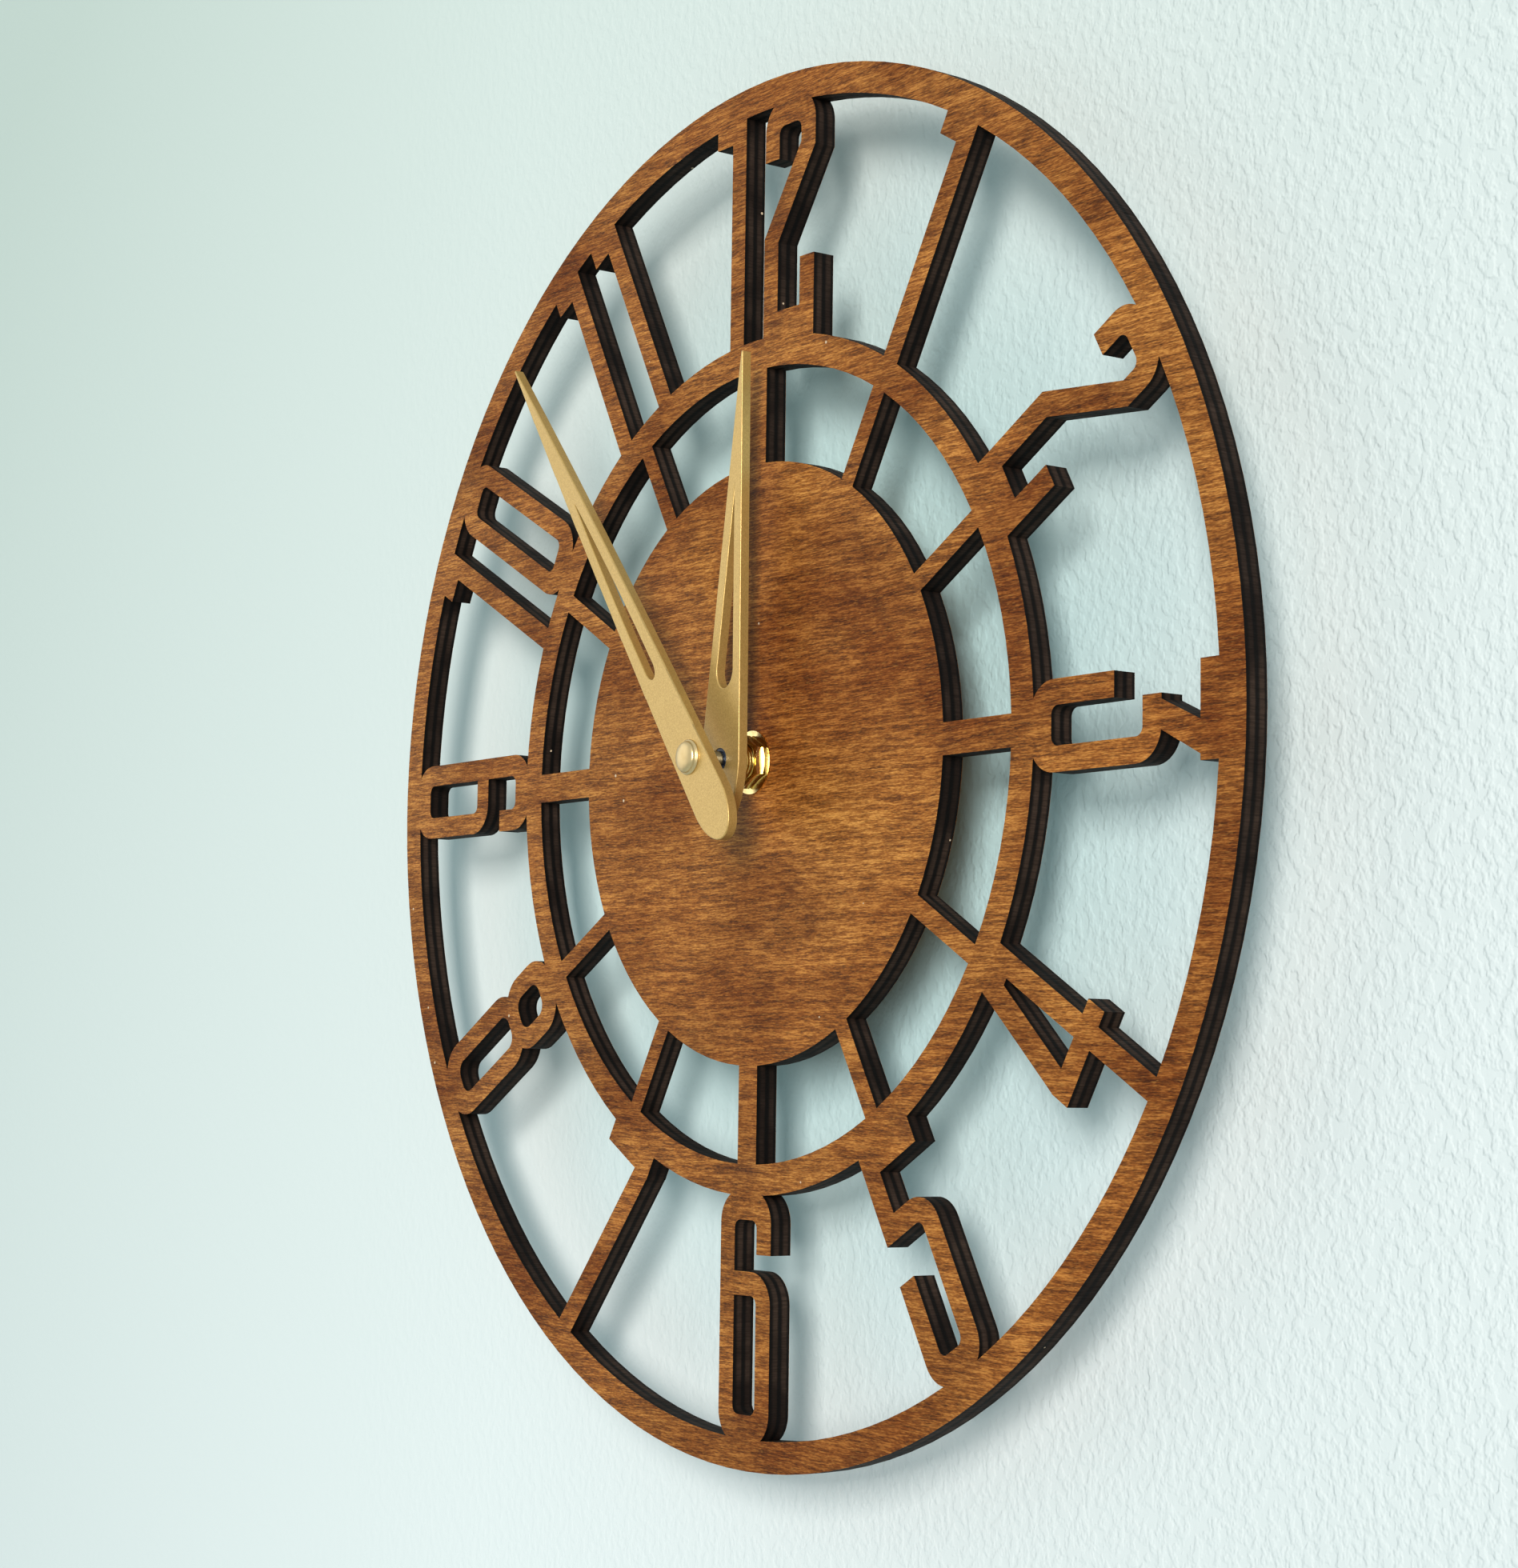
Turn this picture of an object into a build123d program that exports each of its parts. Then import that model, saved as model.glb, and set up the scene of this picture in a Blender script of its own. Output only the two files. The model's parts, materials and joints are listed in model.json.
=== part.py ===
from build123d import *
import os
from math import cos, radians, sin

# A fretwork wall clock. The wall is the plane Y = 0 and the dial faces -Y. A level is a distance in
# front of the wall, and the origin is on the wall behind the middle of the dial.

# Dial: one sheet with two rings, a disc, spokes and the numerals between the rings
dial_diameter = 300.0
outer_ring_width = 6.6
inner_ring_diameter = 185.0
inner_ring_width = 6.6
disc_diameter = 130.0
sheet_thickness = 5.2
spoke_width = 4.2
quarter_spoke_width = 6.6
hours = 12
quarter_hours = 3
root_overlap = 1.2
stem_overlap = 3.0

# Numerals: strokes of one width. A digit is as high as the gap between the rings, and the rest of its
# sizes are shares of that height.
stroke_width_share = 0.0992
digit_width_share = 0.3556
stroke_bend_share = 0.0864
eight_bend_share = 0.1061

# Hands
hand_thickness = 2.2
hand_edge_radius = 0.25
hour_hand_length = 88.0
hour_hand_half_width = 7.1
hour_tail_length = 14.5
hour_slot_start = 15.4
hour_slot_end = 57.5
hour_slot_half_width = 2.9
hour_slot_round = 4.1
minute_hand_length = 121.8
minute_hand_half_width = 5.75
minute_hand_middle_half_width = 3.5
minute_tail_length = 22.0
minute_tail_round = 10.0
minute_slot_start = 23.0
minute_slot_end = 77.0
minute_slot_half_width = 1.6
minute_slot_middle_half_width = 1.16
minute_slot_round = 3.0
hand_point_half_width = 0.28
hour_hand_angle = 3.93
minute_hand_angle = -37.8
hour_hand_lift = 0.65
arbor_show = 5.75

# Bush, nut and washer
bush_radius = 3.95
bush_flange_radius = 5.5
bush_flange_thickness = 0.8
bush_chamfer = 0.4
bush_end_past_nut = 3.2
nut_width = 10.0
nut_thickness = 2.2
nut_chamfer = 0.6
washer_radius = 6.85
washer_thickness = 0.4
gasket_radius = 7.5
gasket_thickness = 1.0
dial_hole_gap = 0.25
washer_gap = 0.15

# Hand cap
cap_flange_radius = 3.8
cap_flange_thickness = 0.5
cap_dome_radius = 3.2
cap_height = 1.9

# Minute arbor and hour pipe
arbor_radius = 1.85
hand_seat_radius = 1.6
hand_seat_flats = 2.6
arbor_thread_radius = 1.3
arbor_thread_length = 1.1
arbor_rear_radius = 1.5
pipe_wall = 0.64
pipe_end_below_hand = 0.2

# Fits
running_gap = 0.06
pivot_gap = 0.05
seat_gap = 0.01
plane_gap = 0.4
side_gap = 0.2

# Battery and its room
battery_diameter = 14.2
battery_length = 50.5
battery_cap_radius = 2.75
battery_cap_length = 1.0
battery_edge_radius = 0.6
battery_recess = 0.5
battery_play = 1.1
battery_front_gap = 0.1
battery_floor_gap = 0.3
contact_room = 3.1

# Case
case_wall = 1.2
case_corner_radius = 2.5
case_edge_radius = 0.8
case_top = 28.0
wheel_room = 1.05
cover_thickness = 1.5
cover_gap = 0.1
cover_rest_width = 4.0
cover_rest_depth = 1.0
post_radius = 1.5
stake_radius = 0.8
stake_end = 0.6

# Hanging ear and its nail hole
ear_width = 14.0
ear_rise = 11.0
ear_thickness = 2.0
ear_overlap = 3.0
nail_hole_radius = 3.25

# Motion works: 12 turns of the minute arbor to one of the hour wheel
motion_distance = 10.0
motion_bearing = 20.0
setting_bearing = -15.0
cannon_teeth = 10
motion_wheel_teeth = 30
motion_pinion_teeth = 8
hour_wheel_teeth = 32
setting_teeth = 10
motion_wheel_thickness = 1.2
pinion_overhang = 0.2
motion_stud_radius = 0.8

# Train from the rotor to the minute arbor
train_distance = 10.2
rotor_distance = 7.35
intermediate_bearing = 70.0
rotor_bearing = 20.0
centre_wheel_teeth = 64
third_wheel_teeth = 60
second_wheel_teeth = 40
intermediate_wheel_teeth = 36
train_pinion_teeth = 8
rotor_pinion_teeth = 6
train_wheel_thickness = 0.8
centre_wheel_thickness = 1.0
train_arbor_radius = 0.6
pivot_radius = 0.4
pivot_length = 1.0
boss_radius = 1.5
bearing_gap = 0.1

# Train plate
plate_thickness = 1.0
plate_left = 20.5
plate_right = 24.5
plate_low = 9.6
plate_high = 16.5
plate_corner_radius = 2.0
plate_post_inset = 2.0

# Setting knob in its cup
setting_shaft_radius = 1.0
knob_radius = 5.5
knob_thickness = 2.0
knob_recess = 0.2
knob_grips = 16
knob_grip_radius = 0.5
cup_wall = 1.0
cup_floor = 1.2
cup_gap = 0.6
shaft_end_in_knob = 0.6

# Stepping motor
magnet_radius = 2.5
magnet_thickness = 2.0
magnet_hub_radius = 1.0
stator_gap = 0.4
stator_thickness = 0.8
stator_drop = 2.2
stator_head_half = 4.2
stator_arm_width = 3.0
stator_yoke_low = 12.6
stator_yoke_high = 16.3
stator_notch_radius = 0.35
stator_notch_bearing = 60.0
magnet_hub_lip = 0.4
coil_height = 21.6
coil_length = 24.0
core_length = 33.0
core_width = 3.0
bobbin_flange_radius = 3.9
bobbin_flange_thickness = 0.8
bobbin_tube_radius = 2.1
winding_radius = 3.5
winding_gap = 0.02
core_post_radius = 1.3

# Circuit board, crystal and contacts
board_left = 25.6
board_right = 17.2
board_low = 10.0
board_high = 25.6
board_thickness = 1.0
board_level = 8.0
board_post_inset = 2.0
crystal_radius = 1.0
crystal_length = 6.0
crystal_gap = 0.1
crystal_inset = 3.8
contact_thickness = 0.3
contact_pad_width = 8.0
contact_strip_width = 2.2
contact_tab_length = 2.0
riser_inset = 1.6
leaf_bend = 2.2
leaf_bend_radius = 0.5
slot_gap = 0.2
chip_radius = 2.0
chip_height = 1.2
chip_shift = 0.8
chip_inset = 1.4

# Shares of a wheel's tooth pitch taken by half a tooth at its root and at its tip
wheel_tooth_shares = (0.33, 0.12)
pinion_tooth_shares = (0.27, 0.12)
addendum_share = 0.85
dedendum_share = 1.25

# Levels, worked from the case forwards
case_depth = case_wall + battery_front_gap + battery_diameter + battery_recess
front_inner = case_depth - case_wall
dial_level = case_depth + gasket_thickness
washer_level = dial_level + sheet_thickness
nut_level = washer_level + washer_thickness
bush_end = nut_level + nut_thickness + bush_end_past_nut
hour_hand_level = bush_end + hour_hand_lift
pipe_end = hour_hand_level + hand_thickness - pipe_end_below_hand
minute_hand_level = hour_hand_level + hand_thickness + arbor_show
cap_level = minute_hand_level + hand_thickness

# Levels of the motion works, from the front wall back to the plate
hour_wheel_level = front_inner - plane_gap - motion_wheel_thickness
cannon_top = hour_wheel_level - plane_gap
motion_wheel_top = cannon_top - pinion_overhang
motion_wheel_level = motion_wheel_top - motion_wheel_thickness
cannon_level = motion_wheel_level - pinion_overhang
plate_front = cannon_level - side_gap
plate_level = plate_front - plate_thickness

# Levels of the train, from the plate back to the cover
centre_wheel_level = plate_level - plane_gap - centre_wheel_thickness
arbor_rear_end = centre_wheel_level - side_gap
third_wheel_level = centre_wheel_level - pinion_overhang - plane_gap - train_wheel_thickness
second_wheel_level = third_wheel_level - pinion_overhang - plane_gap - train_wheel_thickness
intermediate_wheel_level = second_wheel_level - pinion_overhang - plane_gap - train_wheel_thickness
rotor_pinion_level = intermediate_wheel_level - pinion_overhang
boss_end = rotor_pinion_level - side_gap
pivot_shoulder = boss_end + bearing_gap
plate_shoulder = plate_level - bearing_gap
pivot_hole_floor = pivot_shoulder - pivot_length - bearing_gap
plate_pivot_end = plate_shoulder + pivot_length
second_shoulder = arbor_rear_end - bearing_gap
second_pivot_end = second_shoulder + pivot_length

# Levels of the motor: the core lies on the front of the stator
stator_front = plate_level - stator_drop
stator_level = stator_front - stator_thickness
core_front = stator_front + stator_thickness
magnet_level = stator_level + stator_thickness / 2 - magnet_thickness / 2
coil_level = stator_front + stator_thickness / 2
board_front = board_level + board_thickness
riser_left = -board_left + riser_inset

# Radii that follow from the fits
pipe_bore_radius = arbor_radius + running_gap
pipe_radius = pipe_bore_radius + pipe_wall
bush_bore_radius = pipe_radius + running_gap
rear_bearing_radius = arbor_rear_radius + pivot_gap
pivot_hole_radius = pivot_radius + pivot_gap
setting_bearing_radius = setting_shaft_radius + pivot_gap
cup_inner_radius = knob_radius + cup_gap
cup_radius = cup_inner_radius + cup_wall
cup_floor_level = knob_recess + knob_thickness + plane_gap
thread_hole_radius = bush_radius + seat_gap


# Half the tooth count of a pair times its module is their distance apart.
def module_for(distance, driver_teeth, driven_teeth):
    return 2 * distance / (driver_teeth + driven_teeth)


def tip_radius(teeth, module):
    return (teeth / 2 + addendum_share) * module


cannon_module = module_for(motion_distance, cannon_teeth, motion_wheel_teeth)
hour_module = module_for(motion_distance, motion_pinion_teeth, hour_wheel_teeth)
centre_module = module_for(train_distance, centre_wheel_teeth, train_pinion_teeth)
third_module = module_for(train_distance, third_wheel_teeth, train_pinion_teeth)
second_module = module_for(train_distance, second_wheel_teeth, train_pinion_teeth)
rotor_module = module_for(rotor_distance, intermediate_wheel_teeth, rotor_pinion_teeth)

# Case outline, from the battery outwards
inner_half_width = battery_length / 2 + contact_room / 2
case_half_width = inner_half_width + case_wall
partition_top = -(tip_radius(third_wheel_teeth, third_module) + wheel_room)
partition_low = partition_top - case_wall
battery_floor = partition_low - battery_diameter - battery_play
case_low = battery_floor - case_wall
inner_top = case_top - case_wall
battery_level = front_inner - battery_front_gap - battery_diameter / 2
battery_height = battery_floor + battery_floor_gap + battery_diameter / 2


# A point at a distance and a bearing, in degrees from +X towards +Z, from a start
def from_point(start, distance, bearing):
    across = start[0] + distance * cos(radians(bearing))
    up = start[1] + distance * sin(radians(bearing))
    return (across, up)


centre_axis = (0, 0)
third_axis = (-train_distance, 0)
intermediate_axis = from_point(centre_axis, train_distance, intermediate_bearing)
rotor_axis = from_point(intermediate_axis, rotor_distance, rotor_bearing)
motion_axis = from_point(centre_axis, motion_distance, motion_bearing)
setting_axis = from_point(motion_axis, motion_distance, setting_bearing)

plate_posts = [
    (-plate_left + plate_post_inset, -plate_low + plate_post_inset),
    (-plate_left + plate_post_inset, plate_high - plate_post_inset),
    (plate_right - plate_post_inset, -plate_low + plate_post_inset),
    (plate_right - plate_post_inset, plate_high - plate_post_inset),
]
core_posts = [
    (-core_length / 2 + core_width / 2, coil_height),
    (core_length / 2 - core_width / 2, coil_height),
]
board_posts = [
    (-board_left + board_post_inset, board_high - board_post_inset),
    (-board_left + board_post_inset, board_low + contact_tab_length + board_post_inset),
]


# A round solid about an axis square to the wall, from an outline of (radius, level) points
def turned(axis, *outline, mode=Mode.ADD):
    plane = Plane(origin=(axis[0], 0, axis[1]), x_dir=(1, 0, 0), z_dir=(0, 0, -1))
    with BuildSketch(plane) as half:
        with BuildLine():
            Polyline(*outline, close=True)
        make_face()
    revolve(half.sketch, axis=Axis((axis[0], 0, axis[1]), (0, 1, 0)), mode=mode)


def rod(axis, radius, low, high, mode=Mode.ADD):
    with BuildSketch(Plane.XZ.offset(low)) as section:
        with Locations(axis):
            Circle(radius)
    extrude(section.sketch, amount=high - low, mode=mode)


# A rod along X at a level and a height
def cross_rod(level, height, radius, left, right, mode=Mode.ADD):
    with BuildSketch(Plane.YZ.offset(left)) as section:
        with Locations((-level, height)):
            Circle(radius)
    extrude(section.sketch, amount=right - left, mode=mode)


# A rectangle in a sketch by its left, low, right and high edges
def panel(left, low, right, high, corner=0, mode=Mode.ADD):
    with Locations(((left + right) / 2, (low + high) / 2)):
        if corner > 0:
            RectangleRounded(right - left, high - low, corner, mode=mode)
        else:
            Rectangle(right - left, high - low, mode=mode)


# A straight-sided block between two levels
def block(left, low, right, high, level, top, corner=0, mode=Mode.ADD):
    with BuildSketch(Plane.XZ.offset(level)) as section:
        panel(left, low, right, high, corner)
    extrude(section.sketch, amount=top - level, mode=mode)


# The angle at which a driven wheel's gap faces the driver's tooth
def mesh_phase(driver_phase, driver_teeth, driven_teeth, bearing):
    turn = (driver_phase - bearing) * driver_teeth / driven_teeth
    return bearing + 180 + 180 / driven_teeth - turn


# A toothed disc with straight tooth flanks
def toothed(axis, teeth, module, phase, shares, level, top):
    root_share, tip_share = shares
    root = (teeth / 2 - dedendum_share) * module
    tip = tip_radius(teeth, module)
    corners = []
    for tooth in range(teeth):
        for radius, share in ((root, -root_share), (tip, -tip_share), (tip, tip_share), (root, root_share)):
            corners.append(from_point(axis, radius, phase + (tooth + share) * 360 / teeth))
    with BuildSketch(Plane.XZ.offset(level)) as section:
        with BuildLine():
            Polyline(*corners, close=True)
        make_face()
    extrude(section.sketch, amount=top - level)


# A train arbor with a pivot at each end
def train_arbor(axis, low, high, front_pivot_end):
    turned(
        axis,
        (0, low - pivot_length),
        (pivot_radius, low - pivot_length),
        (pivot_radius, low),
        (train_arbor_radius, low),
        (train_arbor_radius, high),
        (pivot_radius, high),
        (pivot_radius, front_pivot_end),
        (0, front_pivot_end),
    )


# Phases of the wheels: each meshes with its driver, and a wheel's teeth start with its own pinion's
motion_phase = mesh_phase(0, cannon_teeth, motion_wheel_teeth, motion_bearing)
hour_phase = mesh_phase(motion_phase, motion_pinion_teeth, hour_wheel_teeth, motion_bearing + 180)
setting_phase = mesh_phase(motion_phase, motion_wheel_teeth, setting_teeth, setting_bearing)
third_phase = mesh_phase(0, centre_wheel_teeth, train_pinion_teeth, 180)
second_phase = mesh_phase(third_phase, third_wheel_teeth, train_pinion_teeth, 0)
intermediate_phase = mesh_phase(second_phase, second_wheel_teeth, train_pinion_teeth, intermediate_bearing)
rotor_phase = mesh_phase(intermediate_phase, intermediate_wheel_teeth, rotor_pinion_teeth, rotor_bearing)

# Frame of a digit: x from its middle, y from the inner ring's edge (or the outer's, where a numeral
# stands head inwards) to the other ring's edge
digit_height = dial_diameter / 2 - outer_ring_width - inner_ring_diameter / 2
digit_width = digit_width_share * digit_height
stroke_width = stroke_width_share * digit_height
stroke_bend = stroke_bend_share * digit_height
eight_bend = eight_bend_share * digit_height
digit_half = digit_width / 2
side_line = digit_half - stroke_width / 2
foot_line = stroke_width / 2
head_line = digit_height - stroke_width / 2

# Heights in a digit as shares of its height
six_lip_share = 0.76
six_waist_share = 0.638
nine_lip_share = 0.241
nine_waist_share = 0.40
eight_waist_share = 0.65
five_waist_share = 0.67
five_lip_share = 0.451
three_waist_share = 0.65
three_lip_share = 0.447
two_hook_share = 0.763
two_slant_shares = (0.789, 0.414)
two_toe_share = 0.306
four_bar_share = 0.41
flag_share = 0.65

# Slanted parts of digits as corners, in shares of half a digit's width and of its height
three_slant_shares = ((0.24, 0.903), (-0.39, 0.65), (0.35, 0.695), (1.05, 0.942))
three_bar_shares = (-0.98, 1.07)
three_arm_share = -0.39
three_bowl_share = -0.7
four_bar_shares = (-1.25, 1.02)
four_stem_shares = (0.11, 0.66)
four_slant_shares = ((-1.24, 0.459), (-0.65, 0.459), (-0.06, 0.903), (0.3, 0.903), (0.3, 1.0), (-0.53, 1.0))
five_bar_shares = (-0.906, 1.083)
five_bowl_share = -0.652
seven_bar_shares = (-0.62, 1.33)
seven_slant_shares = ((0.746, 0.907), (-0.199, 0.0), (0.403, 0.0), (1.326, 0.907))


def in_digit(shares):
    return [(digit_half * across, digit_height * up) for across, up in shares]


# Draws one pen stroke along a centre line with rounded bends.
def pen(*points, bend=stroke_bend, close=False):
    with BuildLine() as path:
        FilletPolyline(*points, radius=bend, close=close)
    trace(path.line, line_width=stroke_width)


# Each digit is drawn twice, once sunk into the rings, so that it joins them as broadly as cut wood does.
sinks = (0, root_overlap)

with BuildSketch() as zero:
    for sink in sinks:
        low = foot_line - sink
        high = head_line + sink
        pen((-side_line, low), (side_line, low), (side_line, high), (-side_line, high), close=True)

with BuildSketch() as one:
    low = -stem_overlap
    high = digit_height + root_overlap
    panel(-stroke_width / 2, low, stroke_width / 2, high)
    panel(-flag_share * digit_width / 2 - stroke_width / 2, digit_height - stroke_width, 0, high)

with BuildSketch() as two:
    for sink, foot_sink in ((0, 0), (root_overlap, stem_overlap)):
        low = foot_line - foot_sink
        high = head_line + sink
        hook = two_hook_share * digit_height
        bend_high, bend_low = [share * digit_height for share in two_slant_shares]
        pen(
            (-side_line, hook),
            (-side_line, high),
            (side_line, high),
            (side_line, bend_high),
            (-side_line, bend_low),
            (-side_line, low),
            (side_line, low),
            (side_line, two_toe_share * digit_height),
            bend=[stroke_bend, stroke_bend, 0, 0, 0, 0],
        )

with BuildSketch() as three:
    waist = three_waist_share * digit_height
    bowl_left = three_bowl_share * digit_half
    panel(
        three_bar_shares[0] * digit_half,
        digit_height - stroke_width,
        three_bar_shares[1] * digit_half,
        digit_height + root_overlap,
    )
    Polygon(*in_digit(three_slant_shares), align=None)
    for sink in sinks:
        low = foot_line - sink
        pen(
            (three_arm_share * digit_half, waist),
            (side_line, waist),
            (side_line, low),
            (bowl_left, low),
            (bowl_left, three_lip_share * digit_height),
        )

with BuildSketch() as four:
    bar = four_bar_share * digit_height
    stem_left, stem_right = [share * digit_half for share in four_stem_shares]
    bar_left, bar_right = [share * digit_half for share in four_bar_shares]
    panel(stem_left, -root_overlap, stem_right, digit_height + root_overlap)
    panel(bar_left, bar - stroke_width / 2, bar_right, bar + stroke_width / 2)
    Polygon(*in_digit(four_slant_shares), align=None)
    panel(four_slant_shares[-1][0] * digit_half, digit_height, stem_right, digit_height + root_overlap)

with BuildSketch() as five:
    waist = five_waist_share * digit_height
    bowl_left = five_bowl_share * digit_half
    bar_left, bar_right = [share * digit_half for share in five_bar_shares]
    panel(bar_left, digit_height - stroke_width, bar_right, digit_height + root_overlap)
    panel(bar_left, waist - stroke_width / 2, bar_left + stroke_width, digit_height)
    for sink in sinks:
        low = foot_line - sink
        pen(
            (bar_left, waist),
            (side_line, waist),
            (side_line, low),
            (bowl_left, low),
            (bowl_left, five_lip_share * digit_height),
        )

with BuildSketch() as six:
    waist = six_waist_share * digit_height
    for sink in sinks:
        low = foot_line - sink
        high = head_line + sink
        pen(
            (side_line, six_lip_share * digit_height),
            (side_line, high),
            (-side_line, high),
            (-side_line, low),
            (side_line, low),
            (side_line, waist),
            (-side_line, waist),
        )

with BuildSketch() as seven:
    bar_left, bar_right = [share * digit_half for share in seven_bar_shares]
    foot_left, foot_right = in_digit(seven_slant_shares[1:3])
    panel(bar_left, digit_height - stroke_width, bar_right, digit_height + root_overlap)
    Polygon(*in_digit(seven_slant_shares), align=None)
    panel(foot_left[0], -root_overlap, foot_right[0], 0)

with BuildSketch() as eight:
    waist = eight_waist_share * digit_height
    for sink in sinks:
        low = foot_line - sink
        high = head_line + sink
        for start, end in ((low, waist), (waist, high)):
            corners = [(-side_line, start), (side_line, start), (side_line, end), (-side_line, end)]
            pen(*corners, bend=eight_bend, close=True)

with BuildSketch() as nine:
    waist = nine_waist_share * digit_height
    for sink in sinks:
        low = foot_line - sink
        high = head_line + sink
        pen(
            (-side_line, nine_lip_share * digit_height),
            (-side_line, low),
            (side_line, low),
            (side_line, high),
            (-side_line, high),
            (-side_line, waist),
            (side_line, waist),
        )

# Numerals by hour: digits with their middles as shares of a digit's width
numerals = {
    1: [(one, 0.03)],
    2: [(two, 0.0)],
    3: [(three, 0.0)],
    4: [(four, 0.0)],
    5: [(five, 0.0)],
    6: [(six, 0.0)],
    7: [(seven, 0.0)],
    8: [(eight, 0.0)],
    9: [(nine, 0.0)],
    10: [(one, -0.693), (zero, 0.329)],
    11: [(one, -0.334), (one, 0.644)],
    12: [(one, -0.447), (two, 0.6)],
}
head_in_hours = (4, 5, 6, 7, 8)
numeral_turns = {10: 2.3, 11: -1.0}

dial_radius = dial_diameter / 2
outer_ring_inner = dial_radius - outer_ring_width
inner_ring_radius = inner_ring_diameter / 2
inner_ring_inner = inner_ring_radius - inner_ring_width
disc_radius = disc_diameter / 2
numeral_middle = inner_ring_radius + digit_height / 2

with BuildPart() as dial_plate:
    with BuildSketch(Plane.XZ.offset(dial_level)) as fretwork:
        Circle(dial_radius)
        Circle(outer_ring_inner, mode=Mode.SUBTRACT)
        Circle(inner_ring_radius)
        Circle(inner_ring_inner, mode=Mode.SUBTRACT)
        Circle(disc_radius)
        spoke_length = inner_ring_inner - disc_radius + inner_ring_width / 2 + root_overlap
        spoke_middle = inner_ring_inner + inner_ring_width / 2 - spoke_length / 2
        with PolarLocations(spoke_middle, hours):
            Rectangle(spoke_length, spoke_width)
        with PolarLocations(spoke_middle, hours // quarter_hours):
            Rectangle(spoke_length, quarter_spoke_width)
        for hour, digits in numerals.items():
            bearing = 90 - 360 / hours * hour
            turn = bearing - 90 + numeral_turns.get(hour, 0)
            if hour in head_in_hours:
                turn = turn + 180
            spot = from_point(centre_axis, numeral_middle, bearing)
            with Locations(Location((*spot, 0), (0, 0, turn))):
                for digit, middle_share in digits:
                    with Locations((middle_share * digit_width, -digit_height / 2)):
                        add(digit.sketch)
        Circle(bush_radius + dial_hole_gap, mode=Mode.SUBTRACT)
    extrude(amount=sheet_thickness)
dial_plate.part.label = "dial_plate"


# The plane of a hand: local y points along the hand, at an angle clockwise from 12.
def hand_plane(level, angle):
    turn = radians(angle)
    return Plane(origin=(0, -level, 0), x_dir=(cos(turn), 0, -sin(turn)), z_dir=(0, -1, 0))


# The front edge of a hand is slightly rounded.
def ease_front(hand):
    fillet(hand.faces().sort_by(Axis.Y)[0].edges(), hand_edge_radius)


with BuildPart() as hour_hand:
    with BuildSketch(hand_plane(hour_hand_level, hour_hand_angle)):
        with BuildLine():
            Line((hand_point_half_width, hour_hand_length), (hour_hand_half_width, 0))
            EllipticalCenterArc(
                (0, 0), hour_hand_half_width, hour_tail_length, start_angle=270, arc_size=90
            )
            mirror(about=Plane.YZ)
            Line((-hand_point_half_width, hour_hand_length), (hand_point_half_width, hour_hand_length))
        make_face()
        with BuildLine():
            slot_wide = hour_slot_start + hour_slot_round
            Line((0, hour_slot_end), (hour_slot_half_width, slot_wide))
            EllipticalCenterArc(
                (0, slot_wide), hour_slot_half_width, hour_slot_round, start_angle=270, arc_size=90
            )
            mirror(about=Plane.YZ)
        make_face(mode=Mode.SUBTRACT)
    extrude(amount=hand_thickness)
    ease_front(hour_hand)
    rod(centre_axis, pipe_radius + seat_gap, hour_hand_level, minute_hand_level, mode=Mode.SUBTRACT)
hour_hand.part.label = "hour_hand"

# Two flats in the minute hand's hole keep it from turning on the arbor.
with BuildSketch() as flatted_hole:
    Circle(hand_seat_radius + seat_gap)
    Rectangle(hand_seat_flats + 2 * seat_gap, 2 * minute_hand_half_width, mode=Mode.INTERSECT)

with BuildPart() as minute_hand:
    with BuildSketch(hand_plane(minute_hand_level, minute_hand_angle)):
        with BuildLine():
            tail_start = minute_tail_round - minute_tail_length
            ThreePointArc(
                (hand_point_half_width, minute_hand_length),
                (minute_hand_middle_half_width, minute_hand_length / 2),
                (minute_hand_half_width, tail_start),
            )
            EllipticalCenterArc(
                (0, tail_start), minute_hand_half_width, minute_tail_round, start_angle=270, arc_size=90
            )
            mirror(about=Plane.YZ)
            Line((-hand_point_half_width, minute_hand_length), (hand_point_half_width, minute_hand_length))
        make_face()
        with BuildLine():
            slot_wide = minute_slot_start + minute_slot_round
            ThreePointArc(
                (0, minute_slot_end),
                (minute_slot_middle_half_width, (minute_slot_end + slot_wide) / 2),
                (minute_slot_half_width, slot_wide),
            )
            EllipticalCenterArc(
                (0, slot_wide), minute_slot_half_width, minute_slot_round, start_angle=270, arc_size=90
            )
            mirror(about=Plane.YZ)
        make_face(mode=Mode.SUBTRACT)
        add(flatted_hole.sketch, mode=Mode.SUBTRACT)
    extrude(amount=hand_thickness)
    ease_front(minute_hand)
minute_hand.part.label = "minute_hand"

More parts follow.
